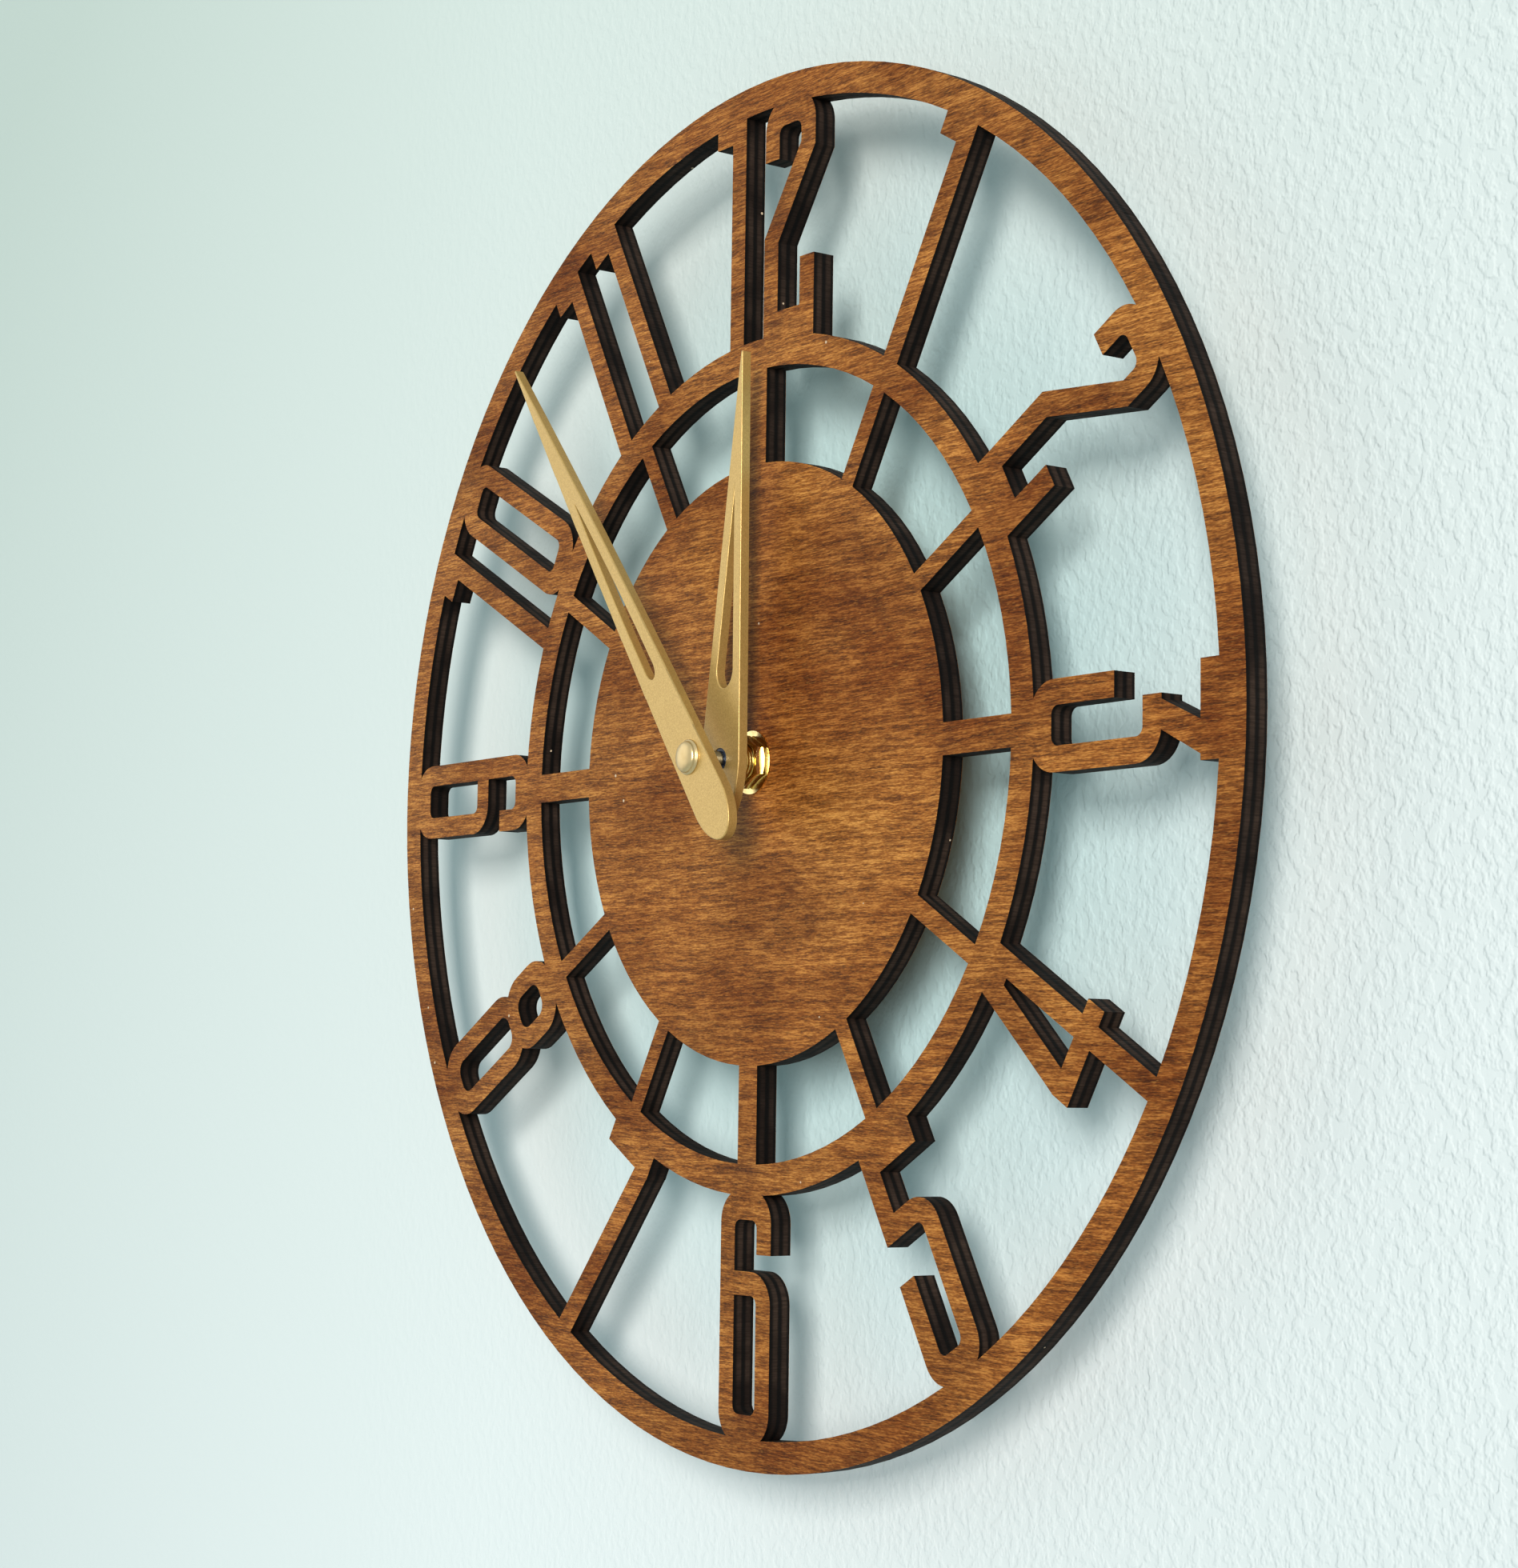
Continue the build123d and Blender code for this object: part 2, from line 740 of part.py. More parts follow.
with BuildPart() as minute_arbor:
    turned(
        centre_axis,
        (0, arbor_rear_end),
        (arbor_rear_radius, arbor_rear_end),
        (arbor_rear_radius, cannon_level),
        (arbor_radius, cannon_level),
        (arbor_radius, minute_hand_level),
        (hand_seat_radius, minute_hand_level),
        (hand_seat_radius, cap_level),
        (arbor_thread_radius, cap_level),
        (arbor_thread_radius, cap_level + arbor_thread_length),
        (0, cap_level + arbor_thread_length),
    )
    # Flats through the minute hand
    with BuildSketch(hand_plane(minute_hand_level, minute_hand_angle)):
        Circle(arbor_radius)
        Rectangle(hand_seat_flats, 2 * arbor_radius, mode=Mode.SUBTRACT)
    extrude(amount=hand_thickness, mode=Mode.SUBTRACT)
    toothed(centre_axis, cannon_teeth, cannon_module, 0, pinion_tooth_shares, cannon_level, cannon_top)
    # Bearing for the front pivot of the second wheel
    rod(centre_axis, pivot_hole_radius, arbor_rear_end, second_pivot_end + bearing_gap, mode=Mode.SUBTRACT)
minute_arbor.part.label = "minute_arbor"

with BuildPart() as hand_cap:
    dome_foot = cap_level + cap_flange_thickness
    thread_end = cap_level + arbor_thread_length + seat_gap
    thread_bore = arbor_thread_radius + seat_gap
    dome_rise = cap_height - cap_flange_thickness
    dome_sphere = (cap_dome_radius**2 + dome_rise**2) / (2 * dome_rise)
    with BuildSketch(Plane(origin=(0, 0, 0), x_dir=(1, 0, 0), z_dir=(0, 0, -1))):
        with BuildLine():
            Polyline(
                (0, thread_end),
                (thread_bore, thread_end),
                (thread_bore, cap_level),
                (cap_flange_radius, cap_level),
                (cap_flange_radius, dome_foot),
                (cap_dome_radius, dome_foot),
            )
            RadiusArc((cap_dome_radius, dome_foot), (0, cap_level + cap_height), -dome_sphere)
            Line((0, cap_level + cap_height), (0, thread_end))
        make_face()
    revolve(axis=Axis.Y)
hand_cap.part.label = "hand_cap"

with BuildPart() as hex_nut:
    with BuildSketch(Plane.XZ.offset(nut_level)):
        RegularPolygon(nut_width / 2, 6, major_radius=False)
        Circle(thread_hole_radius, mode=Mode.SUBTRACT)
    extrude(amount=nut_thickness)
    # The corners are turned off on the front.
    corner_radius = nut_width / 2 / cos(radians(30))
    turned(
        centre_axis,
        (0, nut_level),
        (corner_radius, nut_level),
        (corner_radius, nut_level + nut_thickness - nut_chamfer),
        (corner_radius - 2 * nut_chamfer, nut_level + nut_thickness),
        (0, nut_level + nut_thickness),
        mode=Mode.INTERSECT,
    )
hex_nut.part.label = "hex_nut"

with BuildPart() as flat_washer:
    rod(centre_axis, washer_radius, washer_level, nut_level)
    rod(centre_axis, bush_radius + washer_gap, washer_level, nut_level, mode=Mode.SUBTRACT)
flat_washer.part.label = "flat_washer"

with BuildPart() as rubber_gasket:
    rod(centre_axis, gasket_radius, case_depth, dial_level)
    rod(centre_axis, bush_radius + dial_hole_gap, case_depth, dial_level, mode=Mode.SUBTRACT)
rubber_gasket.part.label = "rubber_gasket"

with BuildPart() as threaded_bush:
    flange_end = front_inner + bush_flange_thickness
    turned(
        centre_axis,
        (bush_bore_radius, front_inner),
        (bush_flange_radius, front_inner),
        (bush_flange_radius, flange_end),
        (bush_radius, flange_end),
        (bush_radius, bush_end - bush_chamfer),
        (bush_radius - bush_chamfer, bush_end),
        (bush_bore_radius, bush_end),
    )
threaded_bush.part.label = "threaded_bush"


with BuildPart() as case_front:
    block(-case_half_width, case_low, case_half_width, case_top, 0, case_depth, corner=case_corner_radius)
    fillet(case_front.faces().sort_by(Axis.Y)[0].edges(), case_edge_radius)
    for low, high in ((partition_top, inner_top), (battery_floor, partition_low)):
        block(-inner_half_width, low, inner_half_width, high, 0, front_inner, mode=Mode.SUBTRACT)
    # The cover lies in the rim and on the partition's edge.
    block(
        -inner_half_width,
        partition_low,
        inner_half_width,
        inner_top,
        0,
        cover_thickness,
        mode=Mode.SUBTRACT,
    )
    # Ribs that the cover rests on, at both sides and above the coil
    rest_low = plate_high
    rest_high = plate_high + cover_rest_width
    side_edge = inner_half_width - cover_rest_depth
    block(-inner_half_width, rest_low, -side_edge, rest_high, cover_thickness, front_inner)
    block(side_edge, rest_low, inner_half_width, rest_high, cover_thickness, front_inner)
    for middle in (core_posts[0][0] - core_width, core_posts[1][0] + core_width):
        left = middle - cover_rest_width / 2
        right = middle + cover_rest_width / 2
        block(left, inner_top - cover_rest_depth, right, inner_top, cover_thickness, front_inner)
    # Posts, with stakes through the plate and through the coil core and stator
    for post in plate_posts:
        rod(post, post_radius, plate_front, front_inner)
        rod(post, stake_radius, plate_level - stake_end, plate_front)
    for post in core_posts:
        rod(post, core_post_radius, core_front, front_inner)
        rod(post, stake_radius, stator_level - stake_end, core_front)
    for post in board_posts:
        rod(post, core_post_radius, board_front, front_inner)
    # Bore and recess for the flanged bush
    rod(centre_axis, thread_hole_radius, front_inner, case_depth, mode=Mode.SUBTRACT)
    flange_end = front_inner + bush_flange_thickness
    rod(centre_axis, bush_flange_radius + seat_gap, front_inner, flange_end, mode=Mode.SUBTRACT)
    # Notch for the hanging ear, and slots in the partition for the two contact strips
    notch = ear_width / 2 + cover_gap
    block(-notch, inner_top, notch, case_top, 0, ear_thickness + cover_gap, mode=Mode.SUBTRACT)
    block(
        -inner_half_width,
        partition_low,
        -inner_half_width + contact_thickness + slot_gap,
        partition_top,
        board_level - contact_strip_width - slot_gap,
        board_level + slot_gap,
        mode=Mode.SUBTRACT,
    )
    block(
        riser_left - slot_gap,
        partition_low,
        riser_left + contact_strip_width + slot_gap,
        partition_top,
        board_front - slot_gap,
        board_front + contact_thickness + slot_gap,
        mode=Mode.SUBTRACT,
    )
case_front.part.label = "case_front"

with BuildPart() as case_back:
    cover_half = inner_half_width - cover_gap
    cover_high = inner_top - cover_gap
    block(-cover_half, partition_low, cover_half, cover_high, 0, cover_thickness)
    rod(setting_axis, cup_radius, cover_thickness, cup_floor_level + cup_floor)
    rod(setting_axis, cup_inner_radius, 0, cup_floor_level, mode=Mode.SUBTRACT)
    rod(setting_axis, setting_bearing_radius, 0, cup_floor_level + cup_floor, mode=Mode.SUBTRACT)
    for axis in (centre_axis, third_axis, intermediate_axis, rotor_axis):
        rod(axis, boss_radius, cover_thickness, boss_end)
        rod(axis, pivot_hole_radius, pivot_hole_floor, boss_end, mode=Mode.SUBTRACT)
    # Hanging ear with its nail hole
    ear_middle = case_top + ear_rise - ear_width / 2
    with BuildSketch(Plane.XZ):
        panel(-ear_width / 2, cover_high - ear_overlap, ear_width / 2, ear_middle)
        with Locations((0, ear_middle)):
            Circle(ear_width / 2)
            Circle(nail_hole_radius, mode=Mode.SUBTRACT)
    extrude(amount=ear_thickness)
case_back.part.label = "case_back"

with BuildPart() as train_plate:
    block(-plate_left, -plate_low, plate_right, plate_high, plate_level, plate_front, plate_corner_radius)
    rod(centre_axis, rear_bearing_radius, plate_level, plate_front, mode=Mode.SUBTRACT)
    rod(setting_axis, setting_bearing_radius, plate_level, plate_front, mode=Mode.SUBTRACT)
    for axis in (third_axis, intermediate_axis, rotor_axis):
        rod(axis, pivot_hole_radius, plate_level, plate_front, mode=Mode.SUBTRACT)
    for post in plate_posts:
        rod(post, stake_radius + seat_gap, plate_level, plate_front, mode=Mode.SUBTRACT)
    # Stud of the motion wheel
    rod(motion_axis, motion_stud_radius, plate_front, front_inner - side_gap)
train_plate.part.label = "train_plate"

with BuildPart() as hour_wheel:
    hour_wheel_top = hour_wheel_level + motion_wheel_thickness
    toothed(
        centre_axis,
        hour_wheel_teeth,
        hour_module,
        hour_phase,
        wheel_tooth_shares,
        hour_wheel_level,
        hour_wheel_top,
    )
    rod(centre_axis, pipe_radius, hour_wheel_level, pipe_end)
    rod(centre_axis, pipe_bore_radius, hour_wheel_level, pipe_end, mode=Mode.SUBTRACT)
hour_wheel.part.label = "hour_wheel"

with BuildPart() as motion_wheel:
    toothed(
        motion_axis,
        motion_wheel_teeth,
        cannon_module,
        motion_phase,
        wheel_tooth_shares,
        motion_wheel_level,
        motion_wheel_top,
    )
    pinion_top = hour_wheel_level + motion_wheel_thickness
    toothed(
        motion_axis,
        motion_pinion_teeth,
        hour_module,
        motion_phase,
        pinion_tooth_shares,
        motion_wheel_top,
        pinion_top,
    )
    rod(motion_axis, boss_radius, plate_front + bearing_gap, motion_wheel_level)
    bore = motion_stud_radius + running_gap
    rod(motion_axis, bore, plate_front, pinion_top, mode=Mode.SUBTRACT)
motion_wheel.part.label = "motion_wheel"

with BuildPart() as setting_pinion:
    toothed(
        setting_axis,
        setting_teeth,
        cannon_module,
        setting_phase,
        pinion_tooth_shares,
        cannon_level,
        cannon_top,
    )
    rod(setting_axis, setting_shaft_radius, knob_recess + shaft_end_in_knob, cannon_level)
setting_pinion.part.label = "setting_pinion"

with BuildPart() as setting_knob:
    knob_top = knob_recess + knob_thickness
    with BuildSketch(Plane.XZ.offset(knob_recess)):
        with Locations(setting_axis):
            Circle(knob_radius)
            with PolarLocations(knob_radius, knob_grips):
                Circle(knob_grip_radius, mode=Mode.SUBTRACT)
    extrude(amount=knob_thickness)
    seat = setting_shaft_radius + seat_gap
    rod(setting_axis, seat, knob_recess + shaft_end_in_knob - seat_gap, knob_top, mode=Mode.SUBTRACT)
setting_knob.part.label = "setting_knob"

with BuildPart() as centre_wheel:
    centre_wheel_top = centre_wheel_level + centre_wheel_thickness
    toothed(
        centre_axis,
        centre_wheel_teeth,
        centre_module,
        0,
        wheel_tooth_shares,
        centre_wheel_level,
        centre_wheel_top,
    )
    seat = arbor_rear_radius + seat_gap
    rod(centre_axis, seat, centre_wheel_level, centre_wheel_top, mode=Mode.SUBTRACT)
centre_wheel.part.label = "centre_wheel"

with BuildPart() as third_wheel:
    wheel_top = third_wheel_level + train_wheel_thickness
    pinion_top = centre_wheel_top + pinion_overhang
    train_arbor(third_axis, pivot_shoulder, plate_shoulder, plate_pivot_end)
    toothed(
        third_axis,
        third_wheel_teeth,
        third_module,
        third_phase,
        wheel_tooth_shares,
        third_wheel_level,
        wheel_top,
    )
    toothed(
        third_axis,
        train_pinion_teeth,
        centre_module,
        third_phase,
        pinion_tooth_shares,
        wheel_top,
        pinion_top,
    )
third_wheel.part.label = "third_wheel"

with BuildPart() as second_wheel:
    pinion_top = wheel_top + pinion_overhang
    wheel_top = second_wheel_level + train_wheel_thickness
    train_arbor(centre_axis, pivot_shoulder, second_shoulder, second_pivot_end)
    toothed(
        centre_axis,
        second_wheel_teeth,
        second_module,
        second_phase,
        wheel_tooth_shares,
        second_wheel_level,
        wheel_top,
    )
    toothed(
        centre_axis,
        train_pinion_teeth,
        third_module,
        second_phase,
        pinion_tooth_shares,
        wheel_top,
        pinion_top,
    )
second_wheel.part.label = "second_wheel"

with BuildPart() as intermediate_wheel:
    pinion_top = wheel_top + pinion_overhang
    wheel_top = intermediate_wheel_level + train_wheel_thickness
    train_arbor(intermediate_axis, pivot_shoulder, plate_shoulder, plate_pivot_end)
    toothed(
        intermediate_axis,
        intermediate_wheel_teeth,
        rotor_module,
        intermediate_phase,
        wheel_tooth_shares,
        intermediate_wheel_level,
        wheel_top,
    )
    toothed(
        intermediate_axis,
        train_pinion_teeth,
        second_module,
        intermediate_phase,
        pinion_tooth_shares,
        wheel_top,
        pinion_top,
    )
intermediate_wheel.part.label = "intermediate_wheel"

with BuildPart() as rotor:
    pinion_top = wheel_top + pinion_overhang
    magnet_top = magnet_level + magnet_thickness
    train_arbor(rotor_axis, pivot_shoulder, plate_shoulder, plate_pivot_end)
    toothed(
        rotor_axis,
        rotor_pinion_teeth,
        rotor_module,
        rotor_phase,
        pinion_tooth_shares,
        rotor_pinion_level,
        pinion_top,
    )
    rod(rotor_axis, magnet_hub_radius, magnet_level - side_gap, magnet_top)
    rod(rotor_axis, magnet_hub_radius + magnet_hub_lip, magnet_level - side_gap, magnet_level)
rotor.part.label = "rotor"

with BuildPart() as rotor_magnet:
    rod(rotor_axis, magnet_radius, magnet_level, magnet_top)
    rod(rotor_axis, magnet_hub_radius + seat_gap, magnet_level, magnet_top, mode=Mode.SUBTRACT)
rotor_magnet.part.label = "rotor_magnet"

with BuildPart() as stator:
    arm_outer = core_length / 2
    arm_inner = arm_outer - stator_arm_width
    arm_high = coil_height + core_width / 2
    head_left = rotor_axis[0] - stator_head_half
    head_right = rotor_axis[0] + stator_head_half
    with BuildSketch(Plane.XZ.offset(stator_level)):
        panel(-arm_outer, stator_yoke_low, arm_outer, stator_yoke_high)
        panel(-arm_outer, stator_yoke_low, -arm_inner, arm_high)
        panel(arm_inner, stator_yoke_low, arm_outer, arm_high)
        panel(head_left, rotor_axis[1] - stator_head_half, head_right, rotor_axis[1] + stator_head_half)
        with Locations(rotor_axis):
            Circle(magnet_radius + stator_gap, mode=Mode.SUBTRACT)
            with PolarLocations(magnet_radius + stator_gap, 2, start_angle=stator_notch_bearing):
                Circle(stator_notch_radius, mode=Mode.SUBTRACT)
        with Locations(*core_posts):
            Circle(stake_radius + seat_gap, mode=Mode.SUBTRACT)
    extrude(amount=stator_thickness)
stator.part.label = "stator"

with BuildPart() as coil_core:
    with BuildSketch(Plane.XZ.offset(stator_front)):
        with Locations((0, coil_height)):
            Rectangle(core_length, core_width)
        with Locations(*core_posts):
            Circle(stake_radius + seat_gap, mode=Mode.SUBTRACT)
    extrude(amount=stator_thickness)
coil_core.part.label = "coil_core"

with BuildPart() as coil_bobbin:
    coil_half = coil_length / 2
    flange_inner = coil_half - bobbin_flange_thickness
    cross_rod(coil_level, coil_height, bobbin_tube_radius, -coil_half, coil_half)
    cross_rod(coil_level, coil_height, bobbin_flange_radius, -coil_half, -flange_inner)
    cross_rod(coil_level, coil_height, bobbin_flange_radius, flange_inner, coil_half)
    # The core passes through a flat hole.
    block(
        -coil_half,
        coil_height - core_width / 2 - seat_gap,
        coil_half,
        coil_height + core_width / 2 + seat_gap,
        stator_front - seat_gap,
        core_front + seat_gap,
        mode=Mode.SUBTRACT,
    )
coil_bobbin.part.label = "coil_bobbin"

with BuildPart() as coil_winding:
    winding_half = flange_inner - winding_gap
    cross_rod(coil_level, coil_height, winding_radius, -winding_half, winding_half)
    tube = bobbin_tube_radius + winding_gap
    cross_rod(coil_level, coil_height, tube, -winding_half, winding_half, mode=Mode.SUBTRACT)
coil_winding.part.label = "coil_winding"

with BuildPart() as circuit_board:
    block(-board_left, board_low, -board_right, board_high, board_level, board_front)
circuit_board.part.label = "circuit_board"

with BuildPart() as clock_chip:
    # A drop of hard resin over the chip
    chip_spot = (-(board_left + board_right) / 2 + chip_shift, board_low + chip_radius + chip_inset)
    with BuildSketch(Plane(origin=(chip_spot[0], 0, chip_spot[1]), x_dir=(1, 0, 0), z_dir=(0, 0, -1))):
        with BuildLine():
            EllipticalCenterArc((0, board_level), chip_radius, chip_height, start_angle=270, arc_size=90)
            Polyline((chip_radius, board_level), (0, board_level), (0, board_level - chip_height))
        make_face()
    revolve(axis=Axis((chip_spot[0], 0, chip_spot[1]), (0, 1, 0)))
clock_chip.part.label = "clock_chip"

with BuildPart() as quartz_crystal:
    crystal_low = board_high - crystal_inset - crystal_length
    with BuildSketch(Plane.XY.offset(crystal_low)):
        with Locations((-(board_left + board_right) / 2, crystal_radius + crystal_gap - board_level)):
            Circle(crystal_radius)
    extrude(amount=crystal_length)
quartz_crystal.part.label = "quartz_crystal"

with BuildPart() as battery:
    battery_left = -inner_half_width + contact_thickness
    battery_right = battery_left + battery_length
    shoulder = battery_left + battery_cap_length
    cross_rod(battery_level, battery_height, battery_diameter / 2, shoulder, battery_right)
    fillet(battery.edges().filter_by(GeomType.CIRCLE), battery_edge_radius)
    cross_rod(battery_level, battery_height, battery_cap_radius, battery_left, shoulder)
battery.part.label = "battery"

with BuildPart() as positive_contact:
    strip_right = -inner_half_width + contact_thickness
    strip_low = board_level - contact_strip_width
    pad_half = contact_pad_width / 2
    tab_high = board_low + contact_tab_length
    block(
        -inner_half_width,
        battery_height - pad_half,
        strip_right,
        battery_height + pad_half,
        battery_level - pad_half,
        battery_level + pad_half,
    )
    block(-inner_half_width, battery_height, strip_right, tab_high, strip_low, board_level)
    tab_right = -board_left + riser_inset - slot_gap
    block(-inner_half_width, board_low, tab_right, tab_high, board_level - contact_thickness, board_level)
positive_contact.part.label = "positive_contact"

with BuildPart() as negative_contact:
    strip_left = inner_half_width - contact_thickness
    strip_top = board_front + contact_strip_width
    base_middle = inner_half_width - contact_thickness / 2
    leaf_middle = battery_right + contact_thickness / 2
    # Spring leaf against the battery, bent from the strip on the side wall
    with BuildSketch(Plane.XY.offset(battery_height - pad_half)):
        with BuildLine() as leaf:
            FilletPolyline(
                (base_middle, -battery_level - pad_half),
                (base_middle, -battery_level + pad_half),
                (leaf_middle, -battery_level + leaf_bend),
                (leaf_middle, -battery_level - leaf_bend),
                radius=leaf_bend_radius,
            )
        trace(leaf.line, line_width=contact_thickness)
    extrude(amount=contact_pad_width)
    block(strip_left, battery_height, inner_half_width, partition_low, board_front, strip_top)
    strip_under = partition_low - contact_thickness
    block(riser_left, strip_under, inner_half_width, partition_low, board_front, strip_top)
    riser_front = board_front + contact_thickness
    block(riser_left, strip_under, riser_left + contact_strip_width, tab_high, board_front, riser_front)
negative_contact.part.label = "negative_contact"

pieces = [
    dial_plate,
    minute_hand,
    hour_hand,
    hand_cap,
    minute_arbor,
    hex_nut,
    flat_washer,
    rubber_gasket,
    threaded_bush,
    case_front,
    case_back,
    train_plate,
    hour_wheel,
    motion_wheel,
    setting_pinion,
    setting_knob,
    centre_wheel,
    third_wheel,
    second_wheel,
    intermediate_wheel,
    rotor,
    rotor_magnet,
    stator,
    coil_core,
    coil_bobbin,
    coil_winding,
    circuit_board,
    clock_chip,
    quartz_crystal,
    battery,
    positive_contact,
    negative_contact,
]
os.makedirs("parts", exist_ok=True)
for piece in pieces:
    export_step(piece.part, f"parts/{piece.part.label}.step")
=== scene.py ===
import json
import math

import bpy
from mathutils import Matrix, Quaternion, Vector


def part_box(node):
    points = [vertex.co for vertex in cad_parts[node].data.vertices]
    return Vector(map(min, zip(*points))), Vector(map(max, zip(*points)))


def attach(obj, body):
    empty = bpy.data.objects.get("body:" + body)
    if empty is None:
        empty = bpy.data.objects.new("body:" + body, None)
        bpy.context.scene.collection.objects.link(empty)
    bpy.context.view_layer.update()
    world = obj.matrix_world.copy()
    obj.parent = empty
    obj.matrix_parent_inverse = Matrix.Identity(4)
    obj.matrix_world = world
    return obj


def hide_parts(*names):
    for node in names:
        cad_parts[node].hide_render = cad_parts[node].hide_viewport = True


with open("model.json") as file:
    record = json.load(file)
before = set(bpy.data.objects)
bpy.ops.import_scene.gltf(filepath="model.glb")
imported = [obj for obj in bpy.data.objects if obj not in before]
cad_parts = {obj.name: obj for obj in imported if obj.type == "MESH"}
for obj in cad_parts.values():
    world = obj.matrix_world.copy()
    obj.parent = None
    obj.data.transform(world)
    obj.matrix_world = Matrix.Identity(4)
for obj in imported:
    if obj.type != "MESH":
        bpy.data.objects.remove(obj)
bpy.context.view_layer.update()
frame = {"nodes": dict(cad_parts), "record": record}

nodes = frame["nodes"]
mm = 0.001
print("frame loaded with", len(nodes), "nodes")


# Camera: right of the clock and a little below its middle
cameraSettings = {
    "place": (0.55237, -0.41680, -0.06797),
    "towards": (-0.80889, 0.58057, 0.09295),
    "rollDegrees": 0.809,
    "lens": 72.81,
    "nearest": 0.01,
    "farthest": 50,
}
bpy.ops.object.select_all(action="DESELECT")
bpy.ops.object.camera_add(location=cameraSettings["place"])
camera = bpy.context.object
camera.name = "camera"
camera.rotation_mode = "QUATERNION"
aim = Vector(cameraSettings["towards"]).to_track_quat("-Z", "Y")
camera.rotation_quaternion = aim @ Quaternion((0, 0, 1), math.radians(cameraSettings["rollDegrees"]))
camera.data.lens = cameraSettings["lens"]
camera.data.clip_start = cameraSettings["nearest"]
camera.data.clip_end = cameraSettings["farthest"]
bpy.context.scene.camera = camera
print("camera placed")


# Node building
def addNode(tree, kind, values=None, **settings):
    node = tree.nodes.new(kind)
    for key, value in settings.items():
        setattr(node, key, value)
    for key, value in (values or {}).items():
        if isinstance(value, bpy.types.NodeSocket):
            tree.links.new(value, node.inputs[key])
        else:
            node.inputs[key].default_value = value
    return node


def mathNode(tree, operation, first, second):
    return addNode(tree, "ShaderNodeMath", {0: first, 1: second}, operation=operation).outputs[0]


def scaled(tree, value, amount):
    return mathNode(tree, "MULTIPLY", value, amount)


def weightedSum(tree, parts):
    total = None
    for value, weight in parts:
        part = scaled(tree, value, weight)
        total = part if total is None else mathNode(tree, "ADD", total, part)
    return total


def vectorNode(tree, operation, first, second):
    return addNode(tree, "ShaderNodeVectorMath", {0: first, 1: second}, operation=operation).outputs[0]


def mixValue(tree, factor, first, second):
    return addNode(tree, "ShaderNodeMix", {0: factor, 2: first, 3: second}).outputs[0]


def mixColour(tree, factor, first, second, blend="MIX"):
    values = {0: factor, 6: first, 7: second}
    return addNode(tree, "ShaderNodeMix", values, data_type="RGBA", blend_type=blend).outputs[2]


def rampNode(tree, factor, stops):
    node = addNode(tree, "ShaderNodeValToRGB", {0: factor})
    ramp = node.color_ramp
    while len(ramp.elements) < len(stops):
        ramp.elements.new(0.5)  # set to its own place below
    for element, (position, colour) in zip(ramp.elements, stops):
        element.position = position
        element.color = colour
    return node.outputs[0]


def rangeNode(tree, value, given, made=(0.0, 1.0)):
    values = {0: value, 1: given[0], 2: given[1], 3: made[0], 4: made[1]}
    return addNode(tree, "ShaderNodeMapRange", values).outputs[0]


# A mask's 0 and 1 become the two ends
def between(tree, mask, ends):
    return rangeNode(tree, mask, (0, 1), ends)


def bumpNode(tree, height, millimetres, strength=1.0):
    values = {"Height": height, "Distance": millimetres * mm, "Strength": strength}
    return addNode(tree, "ShaderNodeBump", values).outputs[0]


def newGroup(name, vectors, numbers, masks):
    tree = bpy.data.node_groups.new(name, "ShaderNodeTree")
    for socketName in vectors:
        tree.interface.new_socket(name=socketName, in_out="INPUT", socket_type="NodeSocketVector")
    for socketName in numbers:
        tree.interface.new_socket(name=socketName, in_out="INPUT", socket_type="NodeSocketFloat")
    for socketName in masks:
        tree.interface.new_socket(name=socketName, in_out="OUTPUT", socket_type="NodeSocketFloat")
    return tree, tree.nodes.new("NodeGroupInput").outputs, tree.nodes.new("NodeGroupOutput").inputs


def objectPoint(tree):
    return addNode(tree, "ShaderNodeTexCoord").outputs["Object"]


def newMaterial(name, even=None):
    material = bpy.data.materials.new(name)
    material.use_nodes = True
    shader = material.node_tree.nodes["Principled BSDF"]
    for socketName, value in (even or {}).items():  # values that are the same all over
        shader.inputs[socketName].default_value = value
    return material, material.node_tree, shader


def connect(tree, shader, varied):
    for socketName, source in varied.items():
        tree.links.new(source, shader.inputs[socketName])


# Rays that show a surface, and not those that only carry its light elsewhere
def seenDirectly(tree):
    path = addNode(tree, "ShaderNodeLightPath").outputs
    seen = mathNode(tree, "MAXIMUM", path["Is Camera Ray"], path["Is Glossy Ray"])
    return mathNode(tree, "MAXIMUM", seen, path["Is Transmission Ray"])


# A mask from noise, whose spots have the given lengths along each axis in millimetres.
# Low and high are the noise values that become 0 and 1
fibreSettings = {"scale": 1.0, "roughness": 0.6}


def makeFibreGroup():
    tree, given, made = newGroup("fibreMask", ["Point", "Lengths"], ["Detail", "Low", "High"], ["Mask"])
    inMillimetres = vectorNode(tree, "MULTIPLY", given["Point"], (1 / mm, 1 / mm, 1 / mm))
    stretched = vectorNode(tree, "DIVIDE", inMillimetres, given["Lengths"])
    values = {"Vector": stretched, "Scale": fibreSettings["scale"], "Detail": given["Detail"],
              "Roughness": fibreSettings["roughness"]}
    noise = addNode(tree, "ShaderNodeTexNoise", values).outputs[0]
    tree.links.new(rangeNode(tree, noise, (given["Low"], given["High"])), made["Mask"])
    return tree


# Tiny grains, for sprayed lacquer, moulded skin and dust
speckleSettings = {"detail": 1.0, "mask": (0.3, 0.7), "spots": (0.1, 0.6)}


